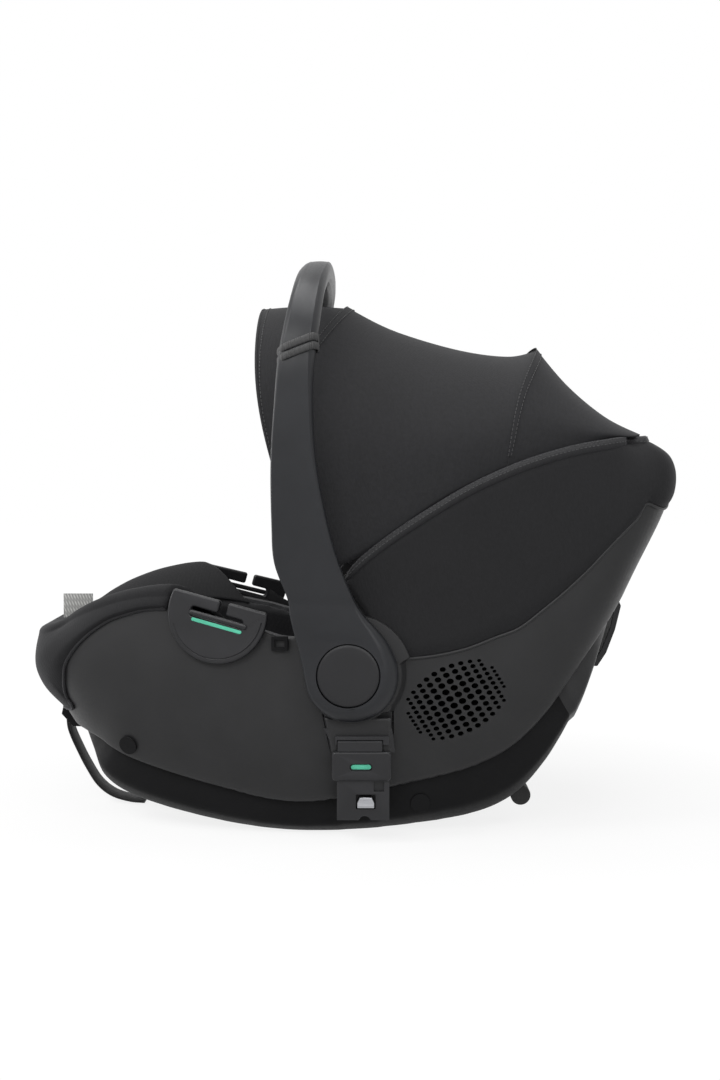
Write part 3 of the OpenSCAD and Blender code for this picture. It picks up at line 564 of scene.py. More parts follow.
def cloth(name, colour, thread=1.3, sheen=0.08, depth=0.25, roughness=0.85):
    """Knitted polyester jersey: fine crossed ribs, a heathered tone and a soft nap that
    catches the light at grazing angles. The threads are drawn coarser than they are."""
    mat, shader, where = new_material(name)
    heather = add(mat, "ShaderNodeTexNoise", {"Vector": where, "Scale": 260.0, "Detail": 4.0,
                                              "Roughness": 0.7})
    tone = ramp(mat, heather.outputs["Fac"], shade(colour, 0.78), shade(colour, 1.28), 0.3, 0.7)
    link(mat, tone, shader, "Base Color")
    ways = crossed(mat, where, ((0.35, 0.2, 0.6), (0.35, 0.2, 0.6 + math.pi / 2)), thread,
                   "SIN", Distortion=1.2, Detail=1.0)
    weave = add(mat, "ShaderNodeMath", {0: ways[0], 1: ways[1]}, operation="MAXIMUM")
    relief(mat, shader, weave.outputs["Value"], 0.5, depth * MM)
    tune(shader, {"Roughness": roughness, "Sheen Weight": sheen, "Sheen Roughness": 0.45,
                  "Sheen Tint": (0.8, 0.8, 0.85, 1), "Specular IOR Level": 0.3})
    return mat


def webbing(name, colour, rib=2.2):
    """Woven polyester belt: close diagonal ribs with a low satin shine."""
    mat, shader, where = new_material(name)
    ways = crossed(mat, where, ((0.2, 0.4, 0.8), (0.2, 0.4, -0.8)), rib, "TRI", Distortion=0.3)
    weave = add(mat, "ShaderNodeMath", {0: ways[0], 1: ways[1]}, operation="MULTIPLY")
    # The ribs' valleys are painted darker and their crests lighter: painted shade and painted
    # highlight of the ribs.
    link(mat, ramp(mat, weave.outputs["Value"], shade(colour, 0.6), shade(colour, 1.3), 0.1, 0.8),
         shader, "Base Color")
    relief(mat, shader, weave.outputs["Value"], 0.6, 0.4 * MM)
    tune(shader, {"Roughness": 0.6, "Sheen Weight": 0.1})
    return mat


def bead_foam(name, colour):
    """Expanded bead foam: packed round cells a few millimetres across."""
    mat, shader, where = new_material(name)
    beads = add(mat, "ShaderNodeTexVoronoi", {"Vector": where, "Scale": 250.0})
    # The beads are painted lighter in their middles and darker towards the gaps between them:
    # painted shade of the rounded beads.
    link(mat, ramp(mat, beads.outputs["Distance"], shade(colour, 1.15), shade(colour, 0.6), 0.2,
                   0.9), shader, "Base Color")
    relief(mat, shader, beads.outputs["Distance"], 0.7, 0.6 * MM, invert=True)
    tune(shader, {"Roughness": 0.8})
    return mat


def brushed_steel(name, colour):
    """Stamped, zinc-plated steel: fine drawn lines stretch its highlights."""
    mat, shader, where = new_material(name)
    way = add(mat, "ShaderNodeMapping", {"Vector": where, "Scale": (60.0, 900.0, 900.0)})
    lines = add(mat, "ShaderNodeTexNoise", {"Vector": way.outputs["Vector"], "Scale": 1.0,
                                            "Detail": 3.0})
    rough = add(mat, "ShaderNodeMapRange", {"Value": lines.outputs["Fac"], "To Min": 0.2,
                                            "To Max": 0.42})
    link(mat, rough.outputs["Result"], shader, "Roughness")
    link(mat, ramp(mat, lines.outputs["Fac"], shade(colour, 0.85), shade(colour, 1.1)),
         shader, "Base Color")
    tune(shader, {"Metallic": 1.0})
    return mat


def moulded_rubber(name, colour):
    """Moulded thermoplastic rubber: matt, with a dusty bloom."""
    mat, shader, where = new_material(name)
    dust = add(mat, "ShaderNodeTexNoise", {"Vector": where, "Scale": 120.0, "Detail": 6.0})
    link(mat, ramp(mat, dust.outputs["Fac"], shade(colour, 0.8), shade(colour, 1.6)),
         shader, "Base Color")
    relief(mat, shader, dust.outputs["Fac"], 0.3, 0.2 * MM)
    tune(shader, {"Roughness": 0.78})
    return mat


FINISH = {}


def make_finishes(colours):
    """Every finish once, from the colours of the sidebar."""
    c = {key: (*getattr(colours, key), 1.0) for key in COLOURS}
    FINISH.update(
        shell=moulded_plastic("moulded_pp_shell", c["shell"], 0.46),
        base=moulded_plastic("moulded_pp_base", c["base"], 0.55, gloss=0.1),
        trim=moulded_plastic("moulded_abs_trim", c["trim"], 0.4, 0.9, gloss=0.3),
        handle=moulded_plastic("moulded_pa_handle", c["handle"], 0.38, 0.8, 0.035, gloss=0.3),
        bow=moulded_plastic("extruded_nylon_bow", c["trim"], 0.4),
        knit=cloth("knitted_jersey_canopy", c["canopy"], sheen=0.02),
        skirt=cloth("knitted_jersey_cover", c["cover"], 1.5, 0.03),
        seat=cloth("brushed_jersey_seat", c["seat"], 1.6, 0.1),
        binding=cloth("woven_binding_tape", c["binding"], 1.0, 0.12, 0.3, 0.7),
        thread=webbing("twisted_thread", c["thread"], 1.0),
        webbing=webbing("woven_webbing", c["webbing"]),
        elastic=webbing("ribbed_elastic", c["elastic"], 1.6),
        foam=bead_foam("bead_foam", c["foam"]),
        steel=brushed_steel("zinc_plated_steel", c["steel"]),
        rubber=moulded_rubber("moulded_rubber", c["rubber"]),
        green=moulded_plastic("moulded_abs_green", c["green"], 0.4, 1.0, 0.02, 1.1),
        red=moulded_plastic("moulded_abs_red", c["red"], 0.35, 1.0, 0.02, 1.1),
        tag=webbing("woven_grey_tag", c["tag"], 1.0),
    )


COLOURS = {
    # The rocker base is darker than the shell: partly its own plastic, partly painted shade of its
    # recess under the shell.
    "shell": ("Shell", "#1e1e1f"), "base": ("Rocker base", "#101011"),
    "trim": ("Trim plastic", "#1c1c1e"), "handle": ("Handle", "#1b1c1f"),
    "canopy": ("Canopy fabric", "#1b1b1d"), "cover": ("Outer cover fabric", "#0f0f11"),
    "seat": ("Seat fabric", "#121214"), "binding": ("Binding tape", "#151517"),
    "thread": ("Sewing thread", "#2e2e30"), "webbing": ("Webbing", "#161617"),
    "elastic": ("Elastic", "#1b1b1c"), "foam": ("Bead foam", "#3a3a3c"),
    "steel": ("Steel", "#a8a9ad"), "rubber": ("Rubber", "#141414"),
    "green": ("Green accents", "#52b294"), "red": ("Buckle button", "#a01c14"),
    "tag": ("Pull tag", "#b0b0ae"),
}


class SeatColours(bpy.types.PropertyGroup):
    """Colours of the finishes, in linear light."""


SeatColours.__annotations__ = {
    key: FloatVectorProperty(name=name, description="Colour of this finish",
                             default=linear(code)[:3], size=3, min=0, max=1, subtype="COLOR")
    for key, (name, code) in COLOURS.items()}


def length(name, about, default):
    return FloatProperty(name=name, description=about, default=default * MM, min=0.0, max=1.0,
                         subtype="DISTANCE", unit="LENGTH", precision=4)


class SeatSizes(bpy.types.PropertyGroup):
    """Sizes that a user may change."""
    edge_roll: length("Shell edge roll", "Radius of the rolled lower edge of the shell", 8.0)
    shell_wall: length("Shell wall", "Thickness of the shell", 3.0)
    vent_long: length("Vent length", "Length of the vent's field of holes", 91.4)
    vent_wide: length("Vent width", "Width of the vent's field of holes", 64.8)
    vent_hole: length("Vent hole", "Radius of the largest vent hole", 3.15)
    hub_edge: length("Hub bevel", "Width of the slope round the handle's hub", 13.0)
    stitch: length("Stitch", "Length of a stitch", 3.4)
    bevel: length("Trim bevel", "Rounding of the trim parts' edges", 0.9)
    cover_puff: length("Cover roll", "How far the front cover stands off the shell", 6.0)


def sizes():
    return bpy.context.scene.car_seat_sizes


# ---- Shell ----
def crease_loop(count):
    """The crease as (s, f) points, evenly spaced round the bottom of the bucket."""
    s = 0.5 * (CREASE_FROM + CREASE_TO) - 0.5 * (CREASE_TO - CREASE_FROM) * np.cos(
        np.linspace(0, math.pi, 400))
    near = np.c_[s, -SHELL.share_at(s, crease_angle(s))]
    ends = SHELL.share_at([CREASE_FROM, CREASE_TO], CREASE_END_ANGLE)
    front = np.c_[np.full(9, CREASE_FROM), np.linspace(ends[0], -ends[0], 9)]
    back = np.c_[np.full(9, CREASE_TO), np.linspace(-ends[1], ends[1], 9)]
    far = near[::-1] * (1, -1)
    loop = np.vstack([front[4:], near[1:-1], back, far[1:-1], front[:4]])
    # Even steps are measured on the wall itself
    p = SHELL.at(loop[:, 0], loop[:, 1])
    run = travel(np.vstack([p, p[:1]]))
    at = np.linspace(0, run[-1], count + 1)[:-1]
    closed = np.vstack([loop, loop[:1]])
    return np.c_[np.interp(at, run, closed[:, 0]), np.interp(at, run, closed[:, 1])]


def rim_loop(crease):
    """The point of the bucket's own edge that each crease point looks at."""
    middle = 0.5 * (CREASE_FROM + CREASE_TO)
    half = np.where(crease[:, 0] < middle, middle, SHELL.last - middle)
    a = (crease[:, 0] - middle) / half
    b = crease[:, 1] * 1.35
    k = np.maximum(np.abs(a), np.abs(b))
    return np.c_[middle + a / k * half, np.clip(b / k, -1, 1)]


def shell_rows(roll, wall):
    """(share of the way from crease to rim, depth) round the shell's section."""
    turn = np.radians(np.arange(0, 91, 15))
    share = roll / 180
    outer = [(share * (1 - math.cos(t)), roll * (1 - math.sin(t))) for t in turn]
    outer += [(w, 0) for w in np.linspace(share * 1.6, 0.985, 40)]
    rim = [(0.996, 0.25), (1, 1), (1, wall - 1), (0.996, wall - 0.2)]
    inner = [(w, wall) for w in np.linspace(0.97, share * 2, 16)]
    return outer + rim + inner + [(share * 1.3, roll * 0.8), (0.01, roll)]


class CARSEAT_OT_shell(bpy.types.Operator):
    """Upper shell with its rolled lower edge, vents, slots and belt notches"""
    bl_idname = "carseat.shell"
    bl_label = "Upper shell"

    def execute(self, context):
        size = sizes()
        rows = np.array(shell_rows(size.edge_roll / MM, size.shell_wall / MM))
        cols = 320
        crease = crease_loop(cols)
        rim = rim_loop(crease)

        def place(u, v):
            i = nth(u, cols) % cols
            j = nth(v, len(rows)) % len(rows)
            w = rows[j, 0][:, None]
            at = crease[i] * (1 - w) + rim[i] * w
            return SHELL.at(at[:, 0], at[:, 1], rows[j, 1])

        bm = grid_mesh(cols, len(rows), place, wrap_u=True, wrap_v=True)
        obj = finish_mesh("upper_shell_body", bm, FINISH["shell"], 50)
        cutter = bmesh.new()
        self.vent_holes(cutter, size)
        self.panel_slots(cutter)
        self.belt_notches(cutter)
        cut(obj, cutter)
        crisp(obj, 38)
        put(obj, "seat", "shell_plastic", "upper_shell", "vent_grille_left", "vent_grille_right")
        return {"FINISHED"}

    def vent_holes(self, bm, size):
        """Slanted rows of oval holes, drawn together towards the rim as on a ball."""
        middle, out = vent_frame()
        shell = surface_of("upper_shell_body")
        along, down = (np.array([math.cos(math.radians(way)), math.sin(math.radians(way))])
                       for way in (28.4, -58))
        # Steps of the ball's two turns, and its radius in both directions
        step_a, step_b = 0.1364, 0.1333
        ball_a = size.vent_long / MM / 2 / math.sin(5.5 * step_a)
        ball_b = size.vent_wide / MM / 2 / math.sin(4.5 * step_b)
        for i in np.arange(-5.5, 6):
            for j in np.arange(-4.5, 5):
                if abs(i) > 5 and abs(j) > 3:
                    continue
                a, b = i * step_a, j * step_b
                x, z = (middle + along * ball_a * math.sin(a)
                        + down * ball_b * math.sin(b) * math.cos(a) ** 1.7)
                r = size.vent_hole / MM * math.cos(a) ** 2 * math.cos(b) ** 1.2
                y = hit_y(shell, x, z)
                for side in (-1, 1):
                    verts = add_cylinder(bm, (0, 0, 0), out * (1, -side, 1), r, 22, 14)
                    flat = Matrix.Diagonal((1.22, 1, 0.98, 1))
                    shift = Matrix.Translation(Vector((x, side * y, z)) * MM)
                    bmesh.ops.transform(bm, matrix=shift @ flat, verts=verts)

    def panel_slots(self, bm):
        """The gaps where the connector's housing comes through the wall."""
        for side in (-1, 1):
            for a, b in (((-28.8, 126), (-21.2, 89)), ((39, 133), (39, 103))):
                way = Vector((b[0] - a[0], 0, b[1] - a[1]))
                turn = leaning((a[0], side * 196, a[1]), -math.atan2(way.z, way.x))
                add_box(bm, (0, -20, -0.7), (way.length, 20, 0.7), turn)

    def belt_notches(self, bm):
        for side in (-1, 1):
            turn = leaning((-129.5, side * 177, 214), math.radians(15.5))
            add_box(bm, (-30, -20, -6.5), (30, 12, 50), turn)


def leaning(place, angle):
    """A frame at a point in millimetres, turned about the seat's cross axis."""
    return Matrix.Translation(Vector(place) * MM) @ Matrix.Rotation(angle, 4, "Y")


def vent_frame():
    """Side-view centre and outward normal of the near vent."""
    middle = np.array([99.7, 136.2])
    s, f = SHELL.find([middle])[0]
    p = SHELL.at([s, s + 0.1, s], [f, f, f - 0.03])
    out = np.cross(p[1] - p[0], p[2] - p[0])
    out /= np.linalg.norm(out)
    return middle, out * -np.sign(out[1])


# Depth of the base inside the skin, from the keel line (0) out to the crease (4) and its flange
BASE_PROFILE = ((0, 7), (1, 7), (2, -6), (3, -7), (4, 6.6), (4.25, 9.5), (5, 9.5))


class CARSEAT_OT_base(bpy.types.Operator):
    """Rocker base with two runners, set in behind the crease"""
    bl_idname = "carseat.base"
    bl_label = "Rocker base"

    # Stations at which the base starts, ends in its small step, and ends; its depth there
    START, STEP, END = 2.02, 9.5, 11.18
    SKIN = 6.6

    def execute(self, context):
        known = np.array(BASE_PROFILE, float)
        rows = 120
        ways = np.r_[np.linspace(-5, -2, 40), np.linspace(-1.9, 1.9, 25), np.linspace(2, 5, 40)]
        # Corners are softened by averaging a short way to both sides
        soft = np.linspace(-0.14, 0.14, 9)
        depths = np.mean([np.interp(np.abs(ways + k), known[:, 0], known[:, 1]) for k in soft],
                         axis=0)
        long = self.END - self.START

        def place(u, v):
            j = nth(v, len(ways) - 1)
            s = self.START + long * u
            row = s * 35 / 14 - 6
            fade = np.clip(np.minimum(row / 3, (21 - row) / 3), 0, 1)
            fade = ease(fade)
            m = ways[j]
            crease = crease_angle(s)
            low = SHELL.share_at(s, crease)
            over = np.maximum(np.abs(m) - 4, 0)
            f = np.sign(m) * (np.where(
                np.abs(m) <= 4, SHELL.share_at(s, crease * np.minimum(np.abs(m), 4) / 4),
                low + over * 0.06))
            # Behind the last runner the recess ends in a small step
            step = 2.6 * np.clip((s - self.STEP) / 0.05, 0, 1)
            return SHELL.at(s, f, self.SKIN + fade * (depths[j] - self.SKIN) - step)

        bm = grid_mesh(rows, len(ways) - 1, place)
        obj = finish_mesh("rocker_base_body", bm, FINISH["base"], 50)
        # The end panel above the step is moulded like the shell; the base's darker colour, partly
        # painted shade of its recess, stops at the step.
        obj.data.materials.append(FINISH["shell"])
        first = int((self.STEP - self.START) / long * rows)
        for k, face in enumerate(obj.data.polygons):
            if k % rows > first:
                face.material_index = 1
        face_out(obj, (0, 0, 150))
        modifier(obj, "SOLIDIFY", thickness=4 * MM, offset=-1)
        put(obj, "seat", "base_plastic", "rocker_base")
        return {"FINISHED"}


def face_out(obj, centre):
    """Turns an open sheet's faces away from a point inside it, in millimetres."""
    mesh = obj.data
    c = np.array(centre) * MM
    total = 0.0
    for p in mesh.polygons:
        total += float(np.dot(np.array(p.center) - c, p.normal)) * p.area
    if total < 0:
        mesh.flip_normals()


# ---- Outer fabric ----
class CARSEAT_OT_front_cover(bpy.types.Operator):
    """Padded cover over the nose: up from its hem, over the rim and into the seat"""
    bl_idname = "carseat.front_cover"
    bl_label = "Front cover"

    # From the belt guide to the middle of the nose: the hem seen from the side (x, z), the
    # rim above it and the seat's edge beside it (s, f)
    EDGES = ((-178, 222, 4.12, -1, 3.55, -0.98), (-206, 219, 3.45, -1, 2.95, -0.98),
             (-233.4, 211, 2.75, -1, 2.3, -0.98), (-250, 202.3, 2.3, -1, 1.9, -0.98),
             (-263.3, 192.2, 1.9, -1, 1.5, -0.98), (-274.6, 179, 1.4, -1, 1.1, -0.97),
             (-283.7, 164, 0.9, -1, 0.7, -0.95), (-287.3, 149.6, 0.5, -0.97, 0.4, -0.9),
             (-287.4, 138, 0.2, -0.9, 0.2, -0.8), (-285.3, 128, 0.05, -0.8, 0.1, -0.7),
             (-280, 118, 0, -0.65, 0.1, -0.55), (-294, 114.5, 0, -0.35, 0.1, -0.3))
    # Share of the cover's way that lies outside the rim
    OUTSIDE = 0.6

    def execute(self, context):
        cols, rows = 150, 46
        known = np.array(self.EDGES, float)
        near = np.c_[SHELL.find(known[:, :2]), known[:, 2:]]
        near = np.vstack([near, [(1.9, 0, 0, 0, 0.1, 0)]])
        both = np.vstack([near, near[-2::-1] * (1, -1, 1, -1, 1, -1)])
        fine = station(both, np.linspace(0, len(both) - 1, 900))
        run = travel(SHELL.at(fine[:, 2], fine[:, 3]))
        even = np.linspace(0, run[-1], cols + 1)
        edges = np.c_[tuple(np.interp(even, run, fine[:, k]) for k in range(6))]
        hem, rim, inside = edges[:, :2], edges[:, 2:4], edges[:, 4:]
        round_end = arch(np.minimum(even, run[-1] - even), 9) * 0.85 + 0.15
        puff = sizes().cover_puff / MM * round_end
        top = SHELL.at(rim[:, 0], rim[:, 1], -puff)
        seat = LIE.at(inside[:, 0], inside[:, 1], -1.5)
        # The roll rises over the rim and comes down on the seat's edge
        rise = np.array([0, 0, 1.0])
        swell = (9 + 8.5 * np.abs(2 * even / run[-1] - 1) ** 1.5) * round_end
        c1 = top + rise * (swell * 1.5)[:, None]
        c2 = top * 0.35 + seat * 0.65 + rise * (swell * 1.5)[:, None]

        def place(u, v):
            i = nth(u, cols)
            w = np.clip(v / self.OUTSIDE, 0, 1)
            at = hem[i] * (1 - w[:, None]) + rim[i] * w[:, None]
            # A turned hem, then the padding's full height
            edge = np.sin(np.clip(w / 0.35, 0, 1) * math.pi / 2)
            depth = -(1.5 + (puff[i] - 1.5) * edge)
            depth -= 1.3 * np.sin(w * math.pi) * round_end[i]
            out = SHELL.at(at[:, 0], at[:, 1], depth)
            t = np.clip((v - self.OUTSIDE) / (1 - self.OUTSIDE), 0, 1)[:, None]
            over = ((1 - t) ** 3 * top[i] + 3 * (1 - t) ** 2 * t * c1[i]
                    + 3 * (1 - t) * t ** 2 * c2[i] + t ** 3 * seat[i])
            return np.where(v[:, None] <= self.OUTSIDE, out, over)

        bm = grid_mesh(cols, rows * 2, place)
        relax(bm, 3)
        obj = thick_sheet("front_cover_fabric", bm, FINISH["skirt"], (-200, 0, 150), 2.2)
        put(obj, "seat", "cover_fabric", "front_cover")
        self.seams(hem, rim)
        return {"FINISHED"}

    def seams(self, hem, rim):
        """A corded hem with a row of stitches above it."""
        cord = tube("front_cover_welt", SHELL.at(hem[1:-1, 0], hem[1:-1, 1], -1.6), 1.5,
                    FINISH["binding"], 8)
        above = hem * 0.86 + rim * 0.14
        row = stitches("front_cover_stitches", SHELL.at(above[2:-2, 0], above[2:-2, 1], -4.1),
                       FINISH["thread"])
        for obj in (cord, row):
            put(obj, "seat", "cover_fabric")


class CARSEAT_OT_skirt(bpy.types.Operator):
    """Outer cover round the sides and the back of the head end, with its sewn edges"""
    bl_idname = "carseat.skirt"
    bl_label = "Side skirt"

    # Side view of the skirt's lower edge, from the hub to the back
    LOW = ((40, 176), (57, 177), (83, 180), (112, 187), (140, 197), (159, 206), (184, 223),
           (207, 242), (228, 262), (245, 279), (273, 306), (292, 322))

    def execute(self, context):
        cols, rows = 260, 34
        near = np.vstack([SHELL.find(self.LOW), [(12.15, -0.35), (12.2, 0.0)]])
        low = smooth_line(np.vstack([near, near[-2::-1] * (1, -1)]), cols + 1)
        high = resample(np.array([(6.75, -1), (10, -1), (13.4, -1), (14, -0.85), (14, 0),
                                  (14, 0.85), (13.4, 1), (10, 1), (6.75, 1)]), cols + 1)

        def place(u, v):
            i = nth(u, cols)
            w = v[:, None]
            at = low[i] * (1 - w) + high[i] * w
            edge = np.minimum(np.clip(v / 0.12, 0, 1), np.clip((1.0 - v) / 0.04, 0, 1))
            depth = -(0.9 + 3.6 * np.sin(edge * math.pi / 2))
            depth -= 0.5 * np.sin(u * 71 + v * 5) * np.sin(v * math.pi) ** 2
            return SHELL.at(at[:, 0], at[:, 1], depth)

        bm = grid_mesh(cols, rows, place)
        relax(bm, 2)
        obj = thick_sheet("side_skirt_fabric", bm, FINISH["skirt"], (150, 0, 250), 1.6)
        put(obj, "seat", "cover_fabric", "side_skirt")
        self.edges(low, high)
        return {"FINISHED"}

    def edges(self, low, high):
        """The padded roll over the rim with its two rows of stitches, and the shell's lip at the
        hem.
        """
        top = SHELL.at(high[:, 0], high[:, 1], -1.0)
        out = top - SHELL.at(high[:, 0], high[:, 1], 2.0)
        out[:, 2] = 0
        out = unit(out)
        inner = top - out * 1.5 + (0, 0, 1.0)
        roll = rolled_edge("rim_binding", inner, out, 6.4, FINISH["binding"])
        face_out(roll, (110, 0, 200))
        rows = []
        for turn, name in ((12, "outer"), (52, "upper")):
            g = math.radians(turn)
            rows.append(stitches(f"rim_stitches_{name}",
                                 inner + out * (6.55 * math.cos(g))
                                 + np.array([0, 0, 6.55 * math.sin(g)]), FINISH["thread"]))
        for obj in (roll, *rows):
            put(obj, "seat", "cover_fabric")
        # The shell's own lip, which the skirt's hem is tucked behind
        # Being thin and round, the lip is painted lighter by the shell finish's edge lightening,
        # which draws it as a painted highlight line.
        lip = tube("shell_lip", SHELL.at(low[:, 0], low[:, 1], -0.9), 1.5, FINISH["shell"], 10)
        put(lip, "seat", "shell_plastic")


# ---- Canopy ----
# Arches from front to back: hem x, hem z, crown x, crown z, half width, squareness, bulge
ARCH_VISOR = (-47, 266, -92.5, 521, 178, 2.8, 15)
ARCH_MIDDLE = (-40, 262, -50, 524, 180, 2.7, 32)
ARCH_FRONT = (-26, 258, -4, 522, 183, 2.6, 48)
ARCH_REAR = (148, 358, 190, 478, 168, 2.7, 9)
VISOR = (ARCH_VISOR, ARCH_MIDDLE, ARCH_FRONT)
FRONT_PANEL = (ARCH_FRONT, (16, 279, 42, 499, 182, 2.6, 34), (82, 325, 108, 479, 177, 2.6, 18),
               (126, 348, 160, 472, 171, 2.6, 10), ARCH_REAR)
REAR_PANEL = (ARCH_REAR, (192, 374, 220, 441, 162, 2.9, 5), (232, 383, 256, 409, 155, 3.2, 2),
              (258, 387, 289, 391, 145, 3.6, 0))


def arch_point(table, s, g, d=0.0):
    """A point of the canopy: g runs from the near hem (0) over the crown to the far hem (1)."""
    r = station(table, s)
    n = r[:, 5]
    turn = g * math.pi
    size = (np.abs(np.cos(turn)) ** n + np.abs(np.sin(turn)) ** n) ** (-1 / n)
    side, up = np.abs(np.cos(turn)) * size, np.abs(np.sin(turn)) * size
    bulge = r[:, 6] * np.sin(math.pi * np.clip(up, 0, 1) ** 1.3)
    return np.c_[r[:, 0] + (r[:, 2] - r[:, 0]) * up - bulge,
                 -np.sign(np.cos(turn)) * (r[:, 4] - d) * side,
                 r[:, 1] + (r[:, 3] - d - r[:, 1]) * up]


def canopy_piece(name, table, rows, crease=0.0):
    def place(u, v):
        # Slight drag lines run from the bows down to the hem
        fold = crease * np.sin(u * math.pi * 9 + v * 2.5) * np.sin(v * math.pi) * np.exp(
            -((np.minimum(u, 1 - u) - 0.1) / 0.09) ** 2)
        return arch_point(table, (len(table) - 1) * v, u, fold)

    return thick_sheet(name, grid_mesh(120, rows, place), FINISH["knit"], (60, 0, 300), 1.8)


class CARSEAT_OT_canopy(bpy.types.Operator):
    """Canopy: visor, front and rear panels over their two bows"""
    bl_idname = "carseat.canopy"
    bl_label = "Canopy"

    def execute(self, context):
        visor = canopy_piece("visor_fabric", VISOR, 24)
        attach(visor, "canopy_front")
        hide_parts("visor")
        front = canopy_piece("canopy_front_fabric", FRONT_PANEL, 60, 1.2)
        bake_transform(front)
        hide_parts("canopy_front_panel")
        rear = canopy_piece("canopy_rear_fabric", REAR_PANEL, 36, 0.8)
        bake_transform(rear)
        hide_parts("canopy_rear_panel")
        self.seam("front_bow_seam", FRONT_PANEL, 9.0, "canopy_front")
        self.seam("rear_bow_seam", REAR_PANEL, 10.0, "canopy_rear")
        self.visor_hem()
        return {"FINISHED"}

    def seam(self, name, table, wide, body):
        """A pressed tape over a bow, widest at the crown, with a row of stitches each side."""
        g = np.linspace(0.03, 0.97, 141)
        flat = [arch_point(table, np.full(len(g), t), g, -0.7) for t in (0.0, 0.12)]
        way = unit(flat[1] - flat[0])
        half = (wide / 2 * (0.35 + 0.65 * np.sin(g * math.pi) ** 1.2))[:, None]

        def place(u, v):
            i = nth(u, len(g) - 1)
            across = (v * 2 - 1)[:, None]
            mid = arch_point(table, np.zeros(len(i)), g[i], -0.9 * np.sqrt(
                np.clip(1 - across[:, 0] ** 4, 0, 1)))
            return mid + way[i] * half[i] * (0.35 + across)

        tape = finish_mesh(name, grid_mesh(len(g) - 1, 6, place), FINISH["knit"], 0)
        face_out(tape, (60, 0, 300))
        rows = [stitches(f"{name}_stitches_{k}", flat[0] + way * half * (0.35 + side)
                         + (0, 0, 0.3), FINISH["thread"]) for k, side in enumerate((-0.8, 0.8))]
        for obj in (tape, *rows):
            put(obj, body, "cover_fabric")

    def visor_hem(self):
        """The visor's front hem, turned over a thin cord."""
        g = np.linspace(0.0, 1.0, 141)
        edge = arch_point(VISOR, np.zeros(len(g)), g, 1.2)
        cord = tube("visor_hem_cord", edge, 1.9, FINISH["knit"], 8)
        row = stitches("visor_hem_stitches", arch_point(VISOR, np.full(len(g), 0.22), g, -0.25),
                       FINISH["thread"])
        for obj in (cord, row):
            put(obj, "canopy_front", "cover_fabric")


# ---- Handle ----
PIVOT_Z = 162.0
AXIS = (-3.5, 163.3)
HUB_R = 44.0
BUTTON_R = 30.0
# Middle line of one half: x, distance from the middle plane, z, width, half thickness
HANDLE = ((-29.5, 211.9, 236, 62, 8.1), (-42.7, 211.9, 270, 60.5, 8.1),
          (-49.2, 211.9, 307, 52.5, 8.1), (-54.8, 211.9, 365, 42.5, 8.1),
          (-54.5, 210.4, 421, 36.5, 8.1), (-52, 206.9, 462, 34.5, 8.6),
          (-46.4, 195.9, 498, 32.5, 9), (-41.2, 170.9, 529, 30, 9.5),
          (-37.5, 132.9, 547, 30, 10), (-36, 81.9, 553, 30, 10), (-35.5, 0.0, 554.4, 30, 10))
# Slopes along the front and the rear edge: their widths at the stations from the hub up
NECK = (  # front x, z, rear x, z, front slope, rear slope
    (-46.6, 172, 40.6, 179, 2.3, 11.5), (-50.5, 189, 33.5, 193.5, 1.9, 9.5),
    (-55, 205, 23, 207, 1.7, 7), (-58.6, 221, 11.5, 219.5, 1.6, 4.2))
LEG_SLOPES = ((1.5, 2.4), (1.4, 2.0), (1.3, 2.4), (1.7, 3.2), (2.6, 4.2), (4.2, 5.8), (4.6, 6.2),
              (6.0, 5.0), (9, 3), (11, 2.2), (11, 2.2))


def handle_lines(steps):
    """Edges of one half of the handle, from the hub's lowest point to the middle of the bar."""
    k = np.linspace(0, len(HANDLE) - 1, 400)
    line = station(HANDLE, k)
    run = np.r_[0, np.cumsum(np.hypot(np.diff(line[:, 1]), np.diff(line[:, 2])))] + HANDLE[0][2]
    rows = []
    hub_steps = 16
    slope = sizes().hub_edge / MM
    for i in range(hub_steps + 1):
        w = i / hub_steps
        a, b = math.radians(-90 - 80 * w), math.radians(-90 + 108 * w)
        rows.append((HUB_R * math.cos(a), PIVOT_Z + HUB_R * math.sin(a),
                     HUB_R * math.cos(b), PIVOT_Z + HUB_R * math.sin(b),
                     slope * (1 - w) ** 1.4 + 2.6 * w, slope, 8.8, 0.75))
    rows = rows[:-1]
    rows += [(*r, 8.5, 0.8) for r in NECK]
    for i, r in enumerate(HANDLE):
        at = float(np.interp(i, k, run))
        rows.append((r[0] - r[3] / 2, at, r[0] + r[3] / 2, at, *LEG_SLOPES[i], r[4],
                     1.0 if i < 4 else 1.5))
    rows = np.array(rows)
    # Sampled finely, then spread evenly by the travel of both edges
    fine = station(rows, np.linspace(0, len(rows) - 1, 1200))
    run2 = np.r_[0, np.cumsum(np.hypot(np.diff(fine[:, 0]), np.diff(fine[:, 1]))
                              + np.hypot(np.diff(fine[:, 2]), np.diff(fine[:, 3])))]
    even = np.linspace(0, run2[-1], steps + 1)
    out = np.c_[tuple(np.interp(even, run2, fine[:, c]) for c in range(8))]
    return out, line, run


